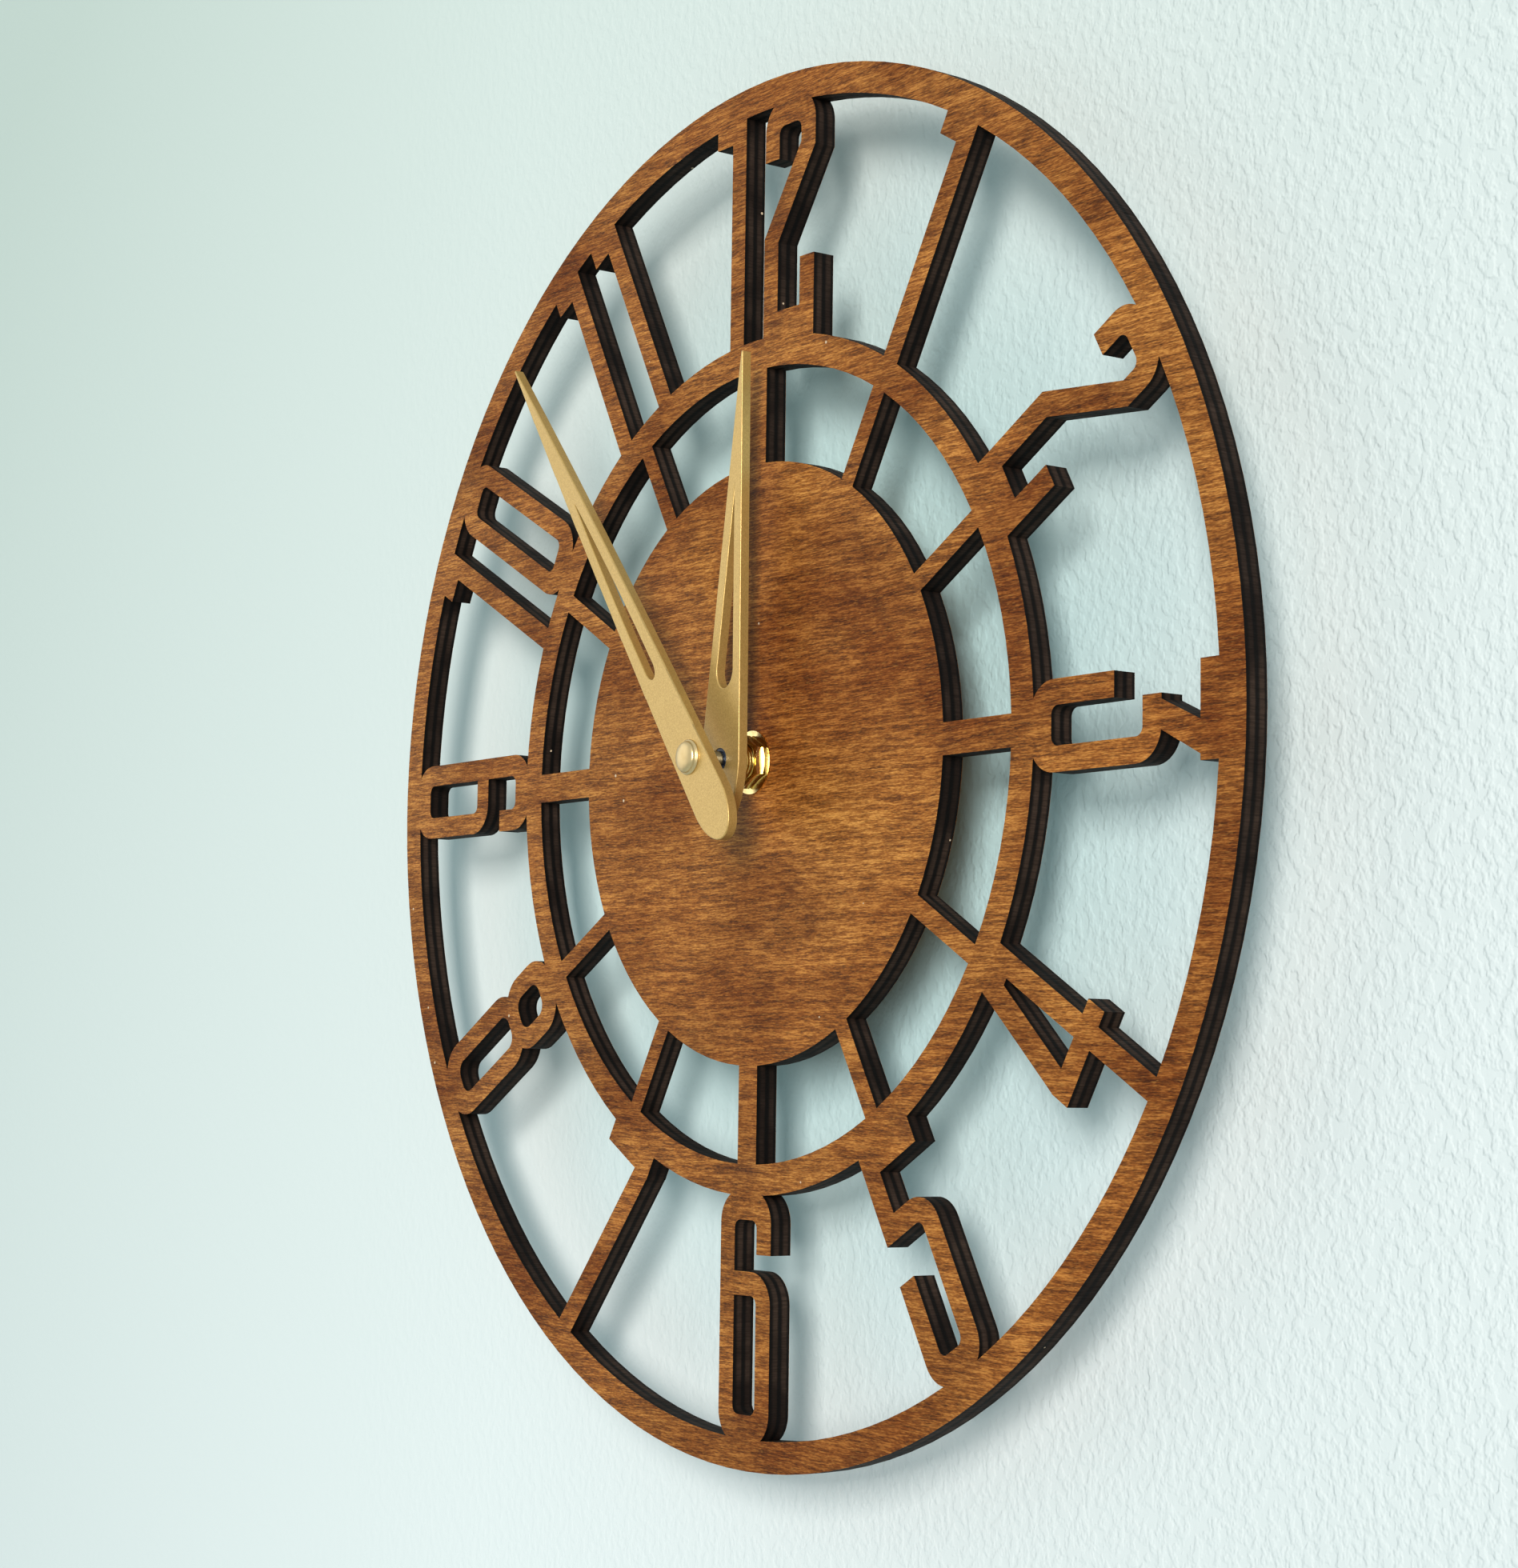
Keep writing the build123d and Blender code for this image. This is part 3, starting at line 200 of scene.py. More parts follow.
def makeSpeckleGroup():
    tree, given, made = newGroup("speckle", ["Point"], ["Size"], ["Mask", "Spots"])
    scale = mathNode(tree, "DIVIDE", 1 / mm, given["Size"])
    values = {"Vector": given["Point"], "Scale": scale, "Detail": speckleSettings["detail"]}
    noise = addNode(tree, "ShaderNodeTexNoise", values)
    cells = addNode(tree, "ShaderNodeTexVoronoi", {"Vector": given["Point"], "Scale": scale})
    tree.links.new(rangeNode(tree, noise.outputs[0], speckleSettings["mask"]), made["Mask"])
    spots = rangeNode(tree, cells.outputs["Distance"], speckleSettings["spots"], (1.0, 0.0))
    tree.links.new(spots, made["Spots"])
    return tree


fibreMask = makeFibreGroup()
speckle = makeSpeckleGroup()


def fibre(tree, point, lengths, detail, low, high):
    values = {"Point": point, "Lengths": lengths, "Detail": detail, "Low": low, "High": high}
    return addNode(tree, "ShaderNodeGroup", values, node_tree=fibreMask).outputs["Mask"]


def speckled(tree, point, size):
    return addNode(tree, "ShaderNodeGroup", {"Point": point, "Size": size}, node_tree=speckle).outputs


# Stained plywood: horizontal grain on both faces and burnt plies on the cut edges
woodSettings = {
    "specular": 0.09,
    "skin": 0.04,  # how deep the stain goes, mm
    "dark": (0.092, 0.028, 0.005, 1),
    "mid": (0.300, 0.098, 0.0160, 1),
    "light": (0.600, 0.256, 0.057, 1),
    "fleck": (0.62, 0.45, 0.30, 1),
    "fleckApart": 12.0,  # mm
    "fleckWide": 0.34,  # mm, from a fleck's middle to its edge
    "cloud": (0.50, 0.385, 0.325, 1),
    "reddish": (0.94, 0.84, 0.74, 1),
    "smudge": (0.40, 0.32, 0.30, 1),
    "faceRoughness": (0.46, 0.58),
    "edgeRoughness": (0.62, 0.85),
    "relief": 0.05,  # mm
    "reliefStrength": 0.8,
}
grainSettings = {
    "waveScale": 22.0,  # waves of the grain in a metre
    "waveDetail": 2.0,
    "waveMiddle": 0.5,
    "waveHeight": 2.5,  # mm
    "along": {  # masks that follow the waves of the grain
        "streaks": {"lengths": (3.6, 9.0, 0.30), "detail": 1.0, "low": 0.38, "high": 0.62},
        "lines": {"lengths": (24.0, 20.0, 1.6), "detail": 2.0, "low": 0.36, "high": 0.64},
        "mottle": {"lengths": (1.1, 2.0, 0.24), "detail": 1.0, "low": 0.36, "high": 0.64},
        "pores": {"lengths": (2.6, 6.0, 0.22), "detail": 1.0, "low": 0.58, "high": 0.68},
        "glints": {"lengths": (2.0, 5.0, 0.24), "detail": 1.0, "low": 0.60, "high": 0.72},
    },
    "across": {  # broad patches of the stain
        "clouds": {"lengths": (58.0, 20.0, 34.0), "detail": 3.0, "low": 0.41, "high": 0.63},
        "warmth": {"lengths": (48.0, 30.0, 30.0), "detail": 2.0, "low": 0.4, "high": 0.62},
        "smudges": {"lengths": (12.0, 6.0, 7.0), "detail": 3.0, "low": 0.58, "high": 0.74},
    },
    "weights": {"streaks": 0.34, "lines": 0.26, "mottle": 0.24},
    "lift": 0.08,
    "stops": [(0.16, "dark"), (0.5, "mid"), (0.86, "light")],
    "tints": [
        ("clouds", 0.95, "cloud", "MULTIPLY"),
        ("warmth", 0.8, "reddish", "MULTIPLY"),
        ("smudges", 0.72, "smudge", "MULTIPLY"),
        ("pores", 0.46, "dark", "MIX"),
        ("glints", 0.28, "light", "MIX"),
    ],
    "streakHeight": 0.6,
}


def stainedFace(tree, point):
    values = {"Vector": point, "Scale": grainSettings["waveScale"], "Detail": grainSettings["waveDetail"]}
    lift = addNode(tree, "ShaderNodeTexNoise", values).outputs[0]
    lift = mathNode(tree, "SUBTRACT", lift, grainSettings["waveMiddle"])
    wave = scaled(tree, lift, grainSettings["waveHeight"] * mm)
    shift = addNode(tree, "ShaderNodeCombineXYZ", {2: wave}).outputs[0]
    warped = vectorNode(tree, "ADD", point, shift)
    masks = {name: fibre(tree, warped, **mask) for name, mask in grainSettings["along"].items()}
    for name, mask in grainSettings["across"].items():
        masks[name] = fibre(tree, point, **mask)

    tone = weightedSum(tree, [(masks[name], weight) for name, weight in grainSettings["weights"].items()])
    tone = mathNode(tree, "ADD", tone, grainSettings["lift"])
    colour = rampNode(tree, tone, [(at, woodSettings[name]) for at, name in grainSettings["stops"]])
    for name, amount, tint, blend in grainSettings["tints"]:
        colour = mixColour(tree, scaled(tree, masks[name], amount), colour, woodSettings[tint], blend)
    raised = scaled(tree, masks["streaks"], grainSettings["streakHeight"])
    return colour, mathNode(tree, "SUBTRACT", raised, masks["pores"]), masks["clouds"]


# Cut edges: the stops go from the front ply to the back one, as shares of the sheet
edgeSettings = {
    "char": (0.0045, 0.0032, 0.0026, 1),
    "ply": (0.050, 0.029, 0.020, 1),
    "sooty": (0.30, 0.27, 0.26, 1),
    "stops": [(0.0, "char"), (0.12, "char"), (0.24, "ply"), (0.38, "ply"), (0.46, "char"),
              (0.58, "char"), (0.68, "ply"), (0.83, "ply"), (0.92, "char")],
    "wobble": {"lengths": (2.2, 2.2, 2.2), "detail": 2.0, "low": 0.2, "high": 0.8},
    "wobbleBy": (-0.018, 0.018),
    "soot": {"lengths": (16.0, 16.0, 16.0), "detail": 2.0, "low": 0.40, "high": 0.60},
    "scorch": {"lengths": (0.35, 5.0, 0.35), "detail": 2.0, "low": 0.3, "high": 0.7},
    "scorched": 0.55,
}


def burntEdge(tree, point, depth):
    wobble = fibre(tree, point, **edgeSettings["wobble"])
    layer = mathNode(tree, "ADD", depth, between(tree, wobble, edgeSettings["wobbleBy"]))
    bands = rampNode(tree, layer, [(at, edgeSettings[name]) for at, name in edgeSettings["stops"]])
    soot = fibre(tree, point, **edgeSettings["soot"])
    bands = mixColour(tree, soot, bands, edgeSettings["sooty"], "MULTIPLY")
    scorch = fibre(tree, point, **edgeSettings["scorch"])
    scorched = scaled(tree, scorch, edgeSettings["scorched"])
    return mixColour(tree, scorched, bands, edgeSettings["char"]), scorch


def makePlywood():
    low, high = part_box("dial_plate")
    material, tree, shader = newMaterial("stainedPlywood", {"Specular IOR Level": woodSettings["specular"]})
    point = objectPoint(tree)
    depth = rangeNode(tree, addNode(tree, "ShaderNodeSeparateXYZ", {0: point}).outputs[1], (low.y, high.y))
    skin = woodSettings["skin"] * mm / (high.y - low.y)
    onFront = mathNode(tree, "LESS_THAN", depth, skin)
    onBack = mathNode(tree, "GREATER_THAN", depth, 1 - skin)
    onFace = mathNode(tree, "MAXIMUM", onFront, onBack)
    faceColour, faceHeight, clouds = stainedFace(tree, point)
    edgeColour, scorch = burntEdge(tree, point, depth)
    colour = mixColour(tree, onFace, edgeColour, faceColour)
    apart = woodSettings["fleckApart"]
    cells = addNode(tree, "ShaderNodeTexVoronoi", {"Vector": point, "Scale": 1 / mm / apart})
    flecks = mathNode(tree, "LESS_THAN", cells.outputs["Distance"], woodSettings["fleckWide"] / apart)
    faceRoughness = between(tree, clouds, woodSettings["faceRoughness"])
    edgeRoughness = between(tree, scorch, woodSettings["edgeRoughness"])
    height = mixValue(tree, onFace, scorch, faceHeight)
    connect(tree, shader, {
        "Base Color": mixColour(tree, flecks, colour, woodSettings["fleck"]),
        "Roughness": mixValue(tree, onFace, edgeRoughness, faceRoughness),
        "Normal": bumpNode(tree, height, woodSettings["relief"], woodSettings["reliefStrength"]),
    })
    return material


# Gold lacquer on the hands: fine metal flake under a satin coat
goldSettings = {
    "metallic": 0.42,
    "base": (0.568, 0.373, 0.120, 1),
    "deep": (0.388, 0.241, 0.068, 1),
    "flake": 0.22,  # mm
    "coarser": 2.2,
    "fineShare": 0.65,
    "coarseShare": 0.35,
    "drift": {"lengths": (14.0, 14.0, 14.0), "detail": 2.0, "low": 0.3, "high": 0.7},
    "roughness": (0.30, 0.38),
    "relief": 0.010,  # mm
    "reliefStrength": 0.6,
}


def makeHandGold():
    material, tree, shader = newMaterial("handGold", {"Metallic": goldSettings["metallic"]})
    point = objectPoint(tree)
    fine = speckled(tree, point, goldSettings["flake"])["Mask"]
    coarse = speckled(tree, point, goldSettings["flake"] * goldSettings["coarser"])["Mask"]
    tone = weightedSum(tree, [(fine, goldSettings["fineShare"]), (coarse, goldSettings["coarseShare"])])
    drift = fibre(tree, point, **goldSettings["drift"])
    connect(tree, shader, {
        "Base Color": mixColour(tree, tone, goldSettings["deep"], goldSettings["base"]),
        "Roughness": between(tree, drift, goldSettings["roughness"]),
        "Normal": bumpNode(tree, fine, goldSettings["relief"], goldSettings["reliefStrength"]),
    })
    return material


# Turned or drawn metal: fine marks round an axis, a little tarnish
turnedSettings = {
    "marks": {"lengths": (0.9, 0.05, 0.9), "detail": 2.0, "low": 0.3, "high": 0.7},
    "stain": {"lengths": (3.0, 3.0, 3.0), "detail": 3.0, "low": 0.5, "high": 0.8},
    "markShare": 0.5,
    "stainShare": 0.5,
    "relief": 0.004,  # mm
    "reliefStrength": 0.6,
}
turnedMetals = {
    "polished_brass": {"name": "polishedBrass", "colour": (0.80, 0.64, 0.30, 1),
                       "tarnish": (0.55, 0.40, 0.16, 1), "roughness": (0.10, 0.22)},
    "arbor_steel": {"name": "arborSteel", "colour": (0.30, 0.34, 0.42, 1),
                    "tarnish": (0.17, 0.20, 0.27, 1), "roughness": (0.16, 0.30)},
    "contact_steel": {"name": "contactSteel", "colour": (0.66, 0.64, 0.60, 1),
                      "tarnish": (0.46, 0.44, 0.40, 1), "roughness": (0.22, 0.38)},
    "lamination_steel": {"name": "laminationSteel", "colour": (0.42, 0.41, 0.40, 1),
                         "tarnish": (0.22, 0.20, 0.19, 1), "roughness": (0.3, 0.5)},
    "magnet_metal": {"name": "magnetMetal", "colour": (0.16, 0.16, 0.17, 1),
                     "tarnish": (0.09, 0.09, 0.10, 1), "roughness": (0.35, 0.55)},
    "cap_satin": {"name": "capSatin", "colour": (0.60, 0.46, 0.235, 1),
                  "tarnish": (0.54, 0.40, 0.19, 1), "roughness": (0.30, 0.38)},
}


def makeTurnedMetal(name, colour, tarnish, roughness):
    material, tree, shader = newMaterial(name, {"Metallic": 1.0})
    point = objectPoint(tree)
    marks = fibre(tree, point, **turnedSettings["marks"])
    stain = fibre(tree, point, **turnedSettings["stain"])
    rough = weightedSum(tree, [(marks, turnedSettings["markShare"]), (stain, turnedSettings["stainShare"])])
    connect(tree, shader, {
        "Base Color": mixColour(tree, stain, colour, tarnish),
        "Roughness": between(tree, rough, roughness),
        "Normal": bumpNode(tree, marks, turnedSettings["relief"], turnedSettings["reliefStrength"]),
    })
    return material


# Moulded plastic: a fine spark-eroded skin with slight gloss drift. Grain and relief in mm
mouldedSettings = {
    "drift": {"lengths": (11.0, 11.0, 11.0), "detail": 3.0, "low": 0.35, "high": 0.7},
    "rougher": 0.12,
    "reliefStrength": 0.7,
}
mouldedPlastics = {
    "gasket_rubber": {"name": "gasketRubber", "colour": (0.016, 0.016, 0.016, 1),
                      "shade": (0.03, 0.03, 0.03, 1), "roughness": 0.7, "grain": 0.25},
    "case_plastic": {"name": "casePlastic", "colour": (0.017, 0.017, 0.018, 1),
                     "shade": (0.026, 0.026, 0.027, 1), "roughness": 0.42},
    "knob_plastic": {"name": "knobPlastic", "colour": (0.55, 0.53, 0.48, 1),
                     "shade": (0.47, 0.45, 0.40, 1), "roughness": 0.36, "grain": 0.3, "relief": 0.01},
    "clear_plastic_white": {"name": "platePlastic", "colour": (0.62, 0.62, 0.60, 1),
                            "shade": (0.54, 0.54, 0.52, 1), "roughness": 0.38, "grain": 0.5,
                            "relief": 0.008},
    "wheel_plastic": {"name": "wheelPlastic", "colour": (0.66, 0.64, 0.58, 1),
                      "shade": (0.58, 0.55, 0.49, 1), "roughness": 0.34, "grain": 0.4, "relief": 0.008},
    "bobbin_plastic": {"name": "bobbinPlastic", "colour": (0.10, 0.12, 0.10, 1),
                       "shade": (0.07, 0.09, 0.07, 1), "roughness": 0.4, "grain": 0.4, "relief": 0.01},
    "chip_resin": {"name": "chipResin", "colour": (0.010, 0.010, 0.011, 1),
                   "shade": (0.016, 0.016, 0.017, 1), "roughness": 0.26, "grain": 1.2},
    "pipe_acetal": {"name": "pipeAcetal", "colour": (0.030, 0.038, 0.052, 1),
                    "shade": (0.045, 0.055, 0.072, 1), "roughness": 0.22, "grain": 0.4, "relief": 0.006},
}


def makeMoulded(name, colour, shade, roughness, grain=0.45, relief=0.02):
    material, tree, shader = newMaterial(name)
    point = objectPoint(tree)
    skin = speckled(tree, point, grain)["Spots"]
    drift = fibre(tree, point, **mouldedSettings["drift"])
    connect(tree, shader, {
        "Base Color": mixColour(tree, drift, colour, shade),
        "Roughness": mathNode(tree, "ADD", scaled(tree, drift, mouldedSettings["rougher"]), roughness),
        "Normal": bumpNode(tree, skin, relief, mouldedSettings["reliefStrength"]),
    })
    return material


# Enamelled copper wire, whose turns run round the coil's axis
copperSettings = {
    "coat": 0.6,
    "coatRoughness": 0.15,
    "turns": {"lengths": (0.5, 8.0, 8.0), "detail": 1.0, "low": 0.3, "high": 0.7},
    "dark": (0.55, 0.20, 0.085, 1),
    "light": (0.72, 0.30, 0.13, 1),
    "roughness": (0.2, 0.34),
}


def makeCopperWire():
    even = {"Metallic": 1.0, "Coat Weight": copperSettings["coat"],
            "Coat Roughness": copperSettings["coatRoughness"]}
    material, tree, shader = newMaterial("copperWire", even)
    turns = fibre(tree, objectPoint(tree), **copperSettings["turns"])
    connect(tree, shader, {
        "Base Color": mixColour(tree, turns, copperSettings["dark"], copperSettings["light"]),
        "Roughness": between(tree, turns, copperSettings["roughness"]),
    })
    return material


# Brown paper laminate with a dull green mask over most of it
boardSettings = {
    "weave": {"lengths": (0.8, 0.8, 0.8), "detail": 2.0, "low": 0.3, "high": 0.7},
    "patches": {"lengths": (4.0, 4.0, 4.0), "detail": 0.0, "low": 0.49, "high": 0.52},
    "laminate": ((0.32, 0.19, 0.085, 1), (0.24, 0.135, 0.055, 1)),
    "mask": ((0.020, 0.105, 0.045, 1), (0.014, 0.078, 0.034, 1)),
    "roughness": (0.55, 0.3),
    "relief": 0.03,  # mm
}


def makeBoard():
    material, tree, shader = newMaterial("boardLaminate")
    point = objectPoint(tree)
    weave = fibre(tree, point, **boardSettings["weave"])
    patches = fibre(tree, point, **boardSettings["patches"])
    laminate = mixColour(tree, weave, *boardSettings["laminate"])
    masked = mixColour(tree, weave, *boardSettings["mask"])
    connect(tree, shader, {
        "Base Color": mixColour(tree, patches, laminate, masked),
        "Roughness": between(tree, patches, boardSettings["roughness"]),
        "Normal": bumpNode(tree, patches, boardSettings["relief"]),
    })
    return material


# Battery: a printed film on a steel can, bare at both ends
batterySettings = {
    "filmFrom": -25.3,  # along the battery, mm
    "filmTo": 22.4,
    "bandFrom": 12.5,
    "film": (0.020, 0.030, 0.052, 1),
    "band": (0.50, 0.27, 0.075, 1),
    "bandMetallic": 0.6,
    "can": (0.62, 0.62, 0.61, 1),
    "scuffs": {"lengths": (9.0, 1.2, 1.2), "detail": 3.0, "low": 0.62, "high": 0.8},
    "scuffed": 0.25,
    "roughness": (0.22, 0.4),
    "relief": 0.01,  # mm
    "reliefStrength": 0.5,
}


def makeBatteryFilm():
    material, tree, shader = newMaterial("batteryFilm")
    point = objectPoint(tree)
    along = addNode(tree, "ShaderNodeSeparateXYZ", {0: point}).outputs[0]
    afterStart = mathNode(tree, "GREATER_THAN", along, batterySettings["filmFrom"] * mm)
    beforeEnd = mathNode(tree, "LESS_THAN", along, batterySettings["filmTo"] * mm)
    onFilm = scaled(tree, afterStart, beforeEnd)
    onBand = mathNode(tree, "GREATER_THAN", along, batterySettings["bandFrom"] * mm)
    printed = mixColour(tree, onBand, batterySettings["film"], batterySettings["band"])
    scuffs = fibre(tree, point, **batterySettings["scuffs"])
    scuffed = scaled(tree, scuffs, batterySettings["scuffed"])
    worn = mixColour(tree, scuffed, printed, batterySettings["can"])
    bare = mathNode(tree, "SUBTRACT", 1.0, onFilm)
    bandMetallic = scaled(tree, onBand, batterySettings["bandMetallic"])
    connect(tree, shader, {
        "Base Color": mixColour(tree, onFilm, batterySettings["can"], worn),
        "Metallic": mathNode(tree, "MAXIMUM", bare, bandMetallic),
        "Roughness": between(tree, scuffs, batterySettings["roughness"]),
        "Normal": bumpNode(tree, scuffs, batterySettings["relief"], batterySettings["reliefStrength"]),
    })
    return material


# Every slot of the record has its material. The satin brass and the dark acetal are for two pieces
# that differ from the others of their slot: the cap and the hour wheel with its pipe
materials = {
    "stained_plywood": makePlywood(),
    "hand_gold": makeHandGold(),
    "copper_wire": makeCopperWire(),
    "board_laminate": makeBoard(),
    "battery_can": makeBatteryFilm(),
}
materials.update({slot: makeTurnedMetal(**look) for slot, look in turnedMetals.items()})
materials.update({slot: makeMoulded(**look) for slot, look in mouldedPlastics.items()})

slotOf = {row["node"]: row["material_slot"] for row in frame["record"]["subparts"]}
for name, node in nodes.items():
    for slot in node.material_slots:
        slot.material = materials[slotOf[name]]
nodes["hour_wheel"].material_slots[0].material = materials["pipe_acetal"]
print("materials made:", len(materials))


# Modelling helpers, whose lengths and levels are in millimetres
shapeSettings = {
    "pickWithin": 0.01,  # how near a point is to the level that it is picked by
    "weld": 0.0005,
    "cutWithin": 0.0001,
    "overrun": 1.0,  # how far a cutting tool stands out of what it cuts
}


def selectWhere(test, kind="FACE"):
    bpy.ops.object.mode_set(mode="OBJECT")
    mesh = bpy.context.object.data
    for element in (*mesh.vertices, *mesh.edges, *mesh.polygons):
        element.select = False
    items = {"VERT": mesh.vertices, "EDGE": mesh.edges, "FACE": mesh.polygons}[kind]
    for item in items:
        item.select = bool(test(item))
    bpy.ops.object.mode_set(mode="EDIT")
    bpy.ops.mesh.select_mode(type=kind)


def selectEdges(piece, test):
    selectWhere(lambda edge: all(test(piece.data.vertices[end].co) for end in edge.vertices), "EDGE")


def atLevel(point, level):
    return abs(point.y + level * mm) < shapeSettings["pickWithin"] * mm


def editAll():
    bpy.ops.object.mode_set(mode="EDIT")
    bpy.ops.mesh.select_all(action="SELECT")


def applyPlace():
    bpy.ops.object.transform_apply(location=True, rotation=True, scale=True)


def finishModifier(piece, kind, **settings):
    modifier = piece.modifiers.new(kind.lower(), kind)
    for key, value in settings.items():
        setattr(modifier, key, value)
    bpy.context.view_layer.objects.active = piece
    bpy.ops.object.modifier_apply(modifier=modifier.name)


def combine(piece, tool, operation):
    finishModifier(piece, "BOOLEAN", object=tool, operation=operation, solver="EXACT")
    bpy.data.objects.remove(tool)


def addCylinder(radius, low, high, vertices=96):
    bpy.ops.object.select_all(action="DESELECT")
    middle = (0, -(low + high) / 2 * mm, 0)
    bpy.ops.mesh.primitive_cylinder_add(vertices=vertices, radius=radius * mm, depth=(high - low) * mm,
                                        location=middle, rotation=(math.pi / 2, 0, 0))
    applyPlace()
    return bpy.context.object


# An open outline of radii and heights is turned once round z, or wound along it with a pitch
def turnOutline(outline, steps, pitch=0.0, turns=1):
    bpy.ops.object.select_all(action="DESELECT")
    bpy.ops.mesh.primitive_circle_add(vertices=len(outline), radius=mm, location=(0, 0, 0))
    piece = bpy.context.object
    for vertex, (radius, height) in zip(piece.data.vertices, outline):
        vertex.co = (radius * mm, 0, height * mm)
    closing = {0, len(outline) - 1}
    selectWhere(lambda edge: set(edge.vertices) == closing, "EDGE")
    bpy.ops.mesh.delete(type="EDGE")
    bpy.ops.object.mode_set(mode="OBJECT")
    finishModifier(piece, "SCREW", axis="Z", angle=2 * math.pi, screw_offset=pitch * mm, iterations=turns,
                   steps=steps, render_steps=steps, use_merge_vertices=True,
                   merge_threshold=shapeSettings["weld"] * mm, use_normal_calculate=True)
    return piece


def weldSeams():
    editAll()
    bpy.ops.mesh.remove_doubles(threshold=shapeSettings["weld"] * mm)
    bpy.ops.mesh.normals_make_consistent(inside=False)
    bpy.ops.object.mode_set(mode="OBJECT")


# The outline of one turn is wound along z from below 0 to past the length, then cut square and closed
def windOutline(outline, steps, pitch, length):
    turns = math.ceil(length / pitch) + 2
    piece = turnOutline([(radius, along - pitch) for radius, along in outline], steps, pitch, turns)
    for height, normal in ((0.0, (0, 0, -1)), (length, (0, 0, 1))):
        editAll()
        bpy.ops.mesh.bisect(plane_co=(0, 0, height * mm), plane_no=normal, use_fill=True, clear_outer=True,
                            threshold=shapeSettings["cutWithin"] * mm)
        bpy.ops.object.mode_set(mode="OBJECT")
    weldSeams()
    return piece


def finishPiece(piece, name, body, slot, node, smoothDegrees, material=None):
    bpy.ops.object.select_all(action="DESELECT")
    bpy.context.view_layer.objects.active = piece
    piece.select_set(True)
    applyPlace()
    bpy.ops.object.shade_smooth_by_angle(angle=math.radians(smoothDegrees))
    piece.name = name
    piece.data.name = name
    piece.data.materials.clear()
    piece.data.materials.append(material or materials[slot])
    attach(piece, body)
    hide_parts(node)
    print("made", name, "with", len(piece.data.polygons), "faces")


# Threaded bush: a flange, a fine helical thread and the bore that the hour pipe turns in
bushSettings = {
    "crest": 3.95,
    "root": 3.55,
    "rootRise": 0.02,
    "pitch": 0.75,
    "corners": (0.08, 0.36, 0.46, 0.72),  # along one turn: root, foot and head of the flanks, root again
    "clearance": 0.01,
    "bore": 2.61,
    "flange": 0.8,
    "flangeEdge": 0.12,
    "chamfer": 0.4,
    "steps": 56,
    "smoothDegrees": 25,
}


def makeThreadedBush():
    low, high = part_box("threaded_bush")
    start, end = -high.y / mm, -low.y / mm
    pitch, crest, root = (bushSettings[key] for key in ("pitch", "crest", "root"))
    rise = root + bushSettings["rootRise"]
    rootEnd, crestStart, crestEnd, rootStart = bushSettings["corners"]
    outline = [(root, 0.0), (rise, rootEnd), (crest, crestStart),
               (crest, crestEnd), (rise, rootStart), (root, pitch)]
    thread = windOutline(outline, bushSettings["steps"], pitch, end - start)
    thread.rotation_euler = (math.pi / 2, 0, 0)
    thread.location = (0, -start * mm, 0)
    applyPlace()

    # The end of the thread is chamfered by a plain turned blank
    overrun = shapeSettings["overrun"]
    blank = addCylinder(crest + bushSettings["clearance"], start - overrun, end)
    selectEdges(blank, lambda point: atLevel(point, end))
    bpy.ops.mesh.bevel(offset=bushSettings["chamfer"] * mm, segments=1)
    bpy.ops.object.mode_set(mode="OBJECT")
    combine(thread, blank, "INTERSECT")

    flange = addCylinder(high.x / mm, start, start + bushSettings["flange"])
    finishModifier(flange, "BEVEL", width=bushSettings["flangeEdge"] * mm, segments=2, limit_method="ANGLE")
    combine(thread, flange, "UNION")
    combine(thread, addCylinder(bushSettings["bore"], start - overrun, end + overrun), "DIFFERENCE")
    finishPiece(thread, "threadedBush", "base", "polished_brass", "threaded_bush",
                bushSettings["smoothDegrees"])


# Hexagon nut: flats, turned chamfers at both faces and softened edges
nutSettings = {
    "flats": 6,
    "acrossFlats": 10.0,
    "low": 22.6,  # levels of its two faces
    "high": 24.8,
    "chamferAlong": 0.42,
    "chamferIn": 0.75,
    "clearance": 0.02,
    "rim": 0.05,  # the blank's rim is picked this far in
    "endFacing": 0.9,
    "edge": 0.10,
    "edgeDegrees": 25,
    "blankSteps": 128,
    "smoothDegrees": 32,
}


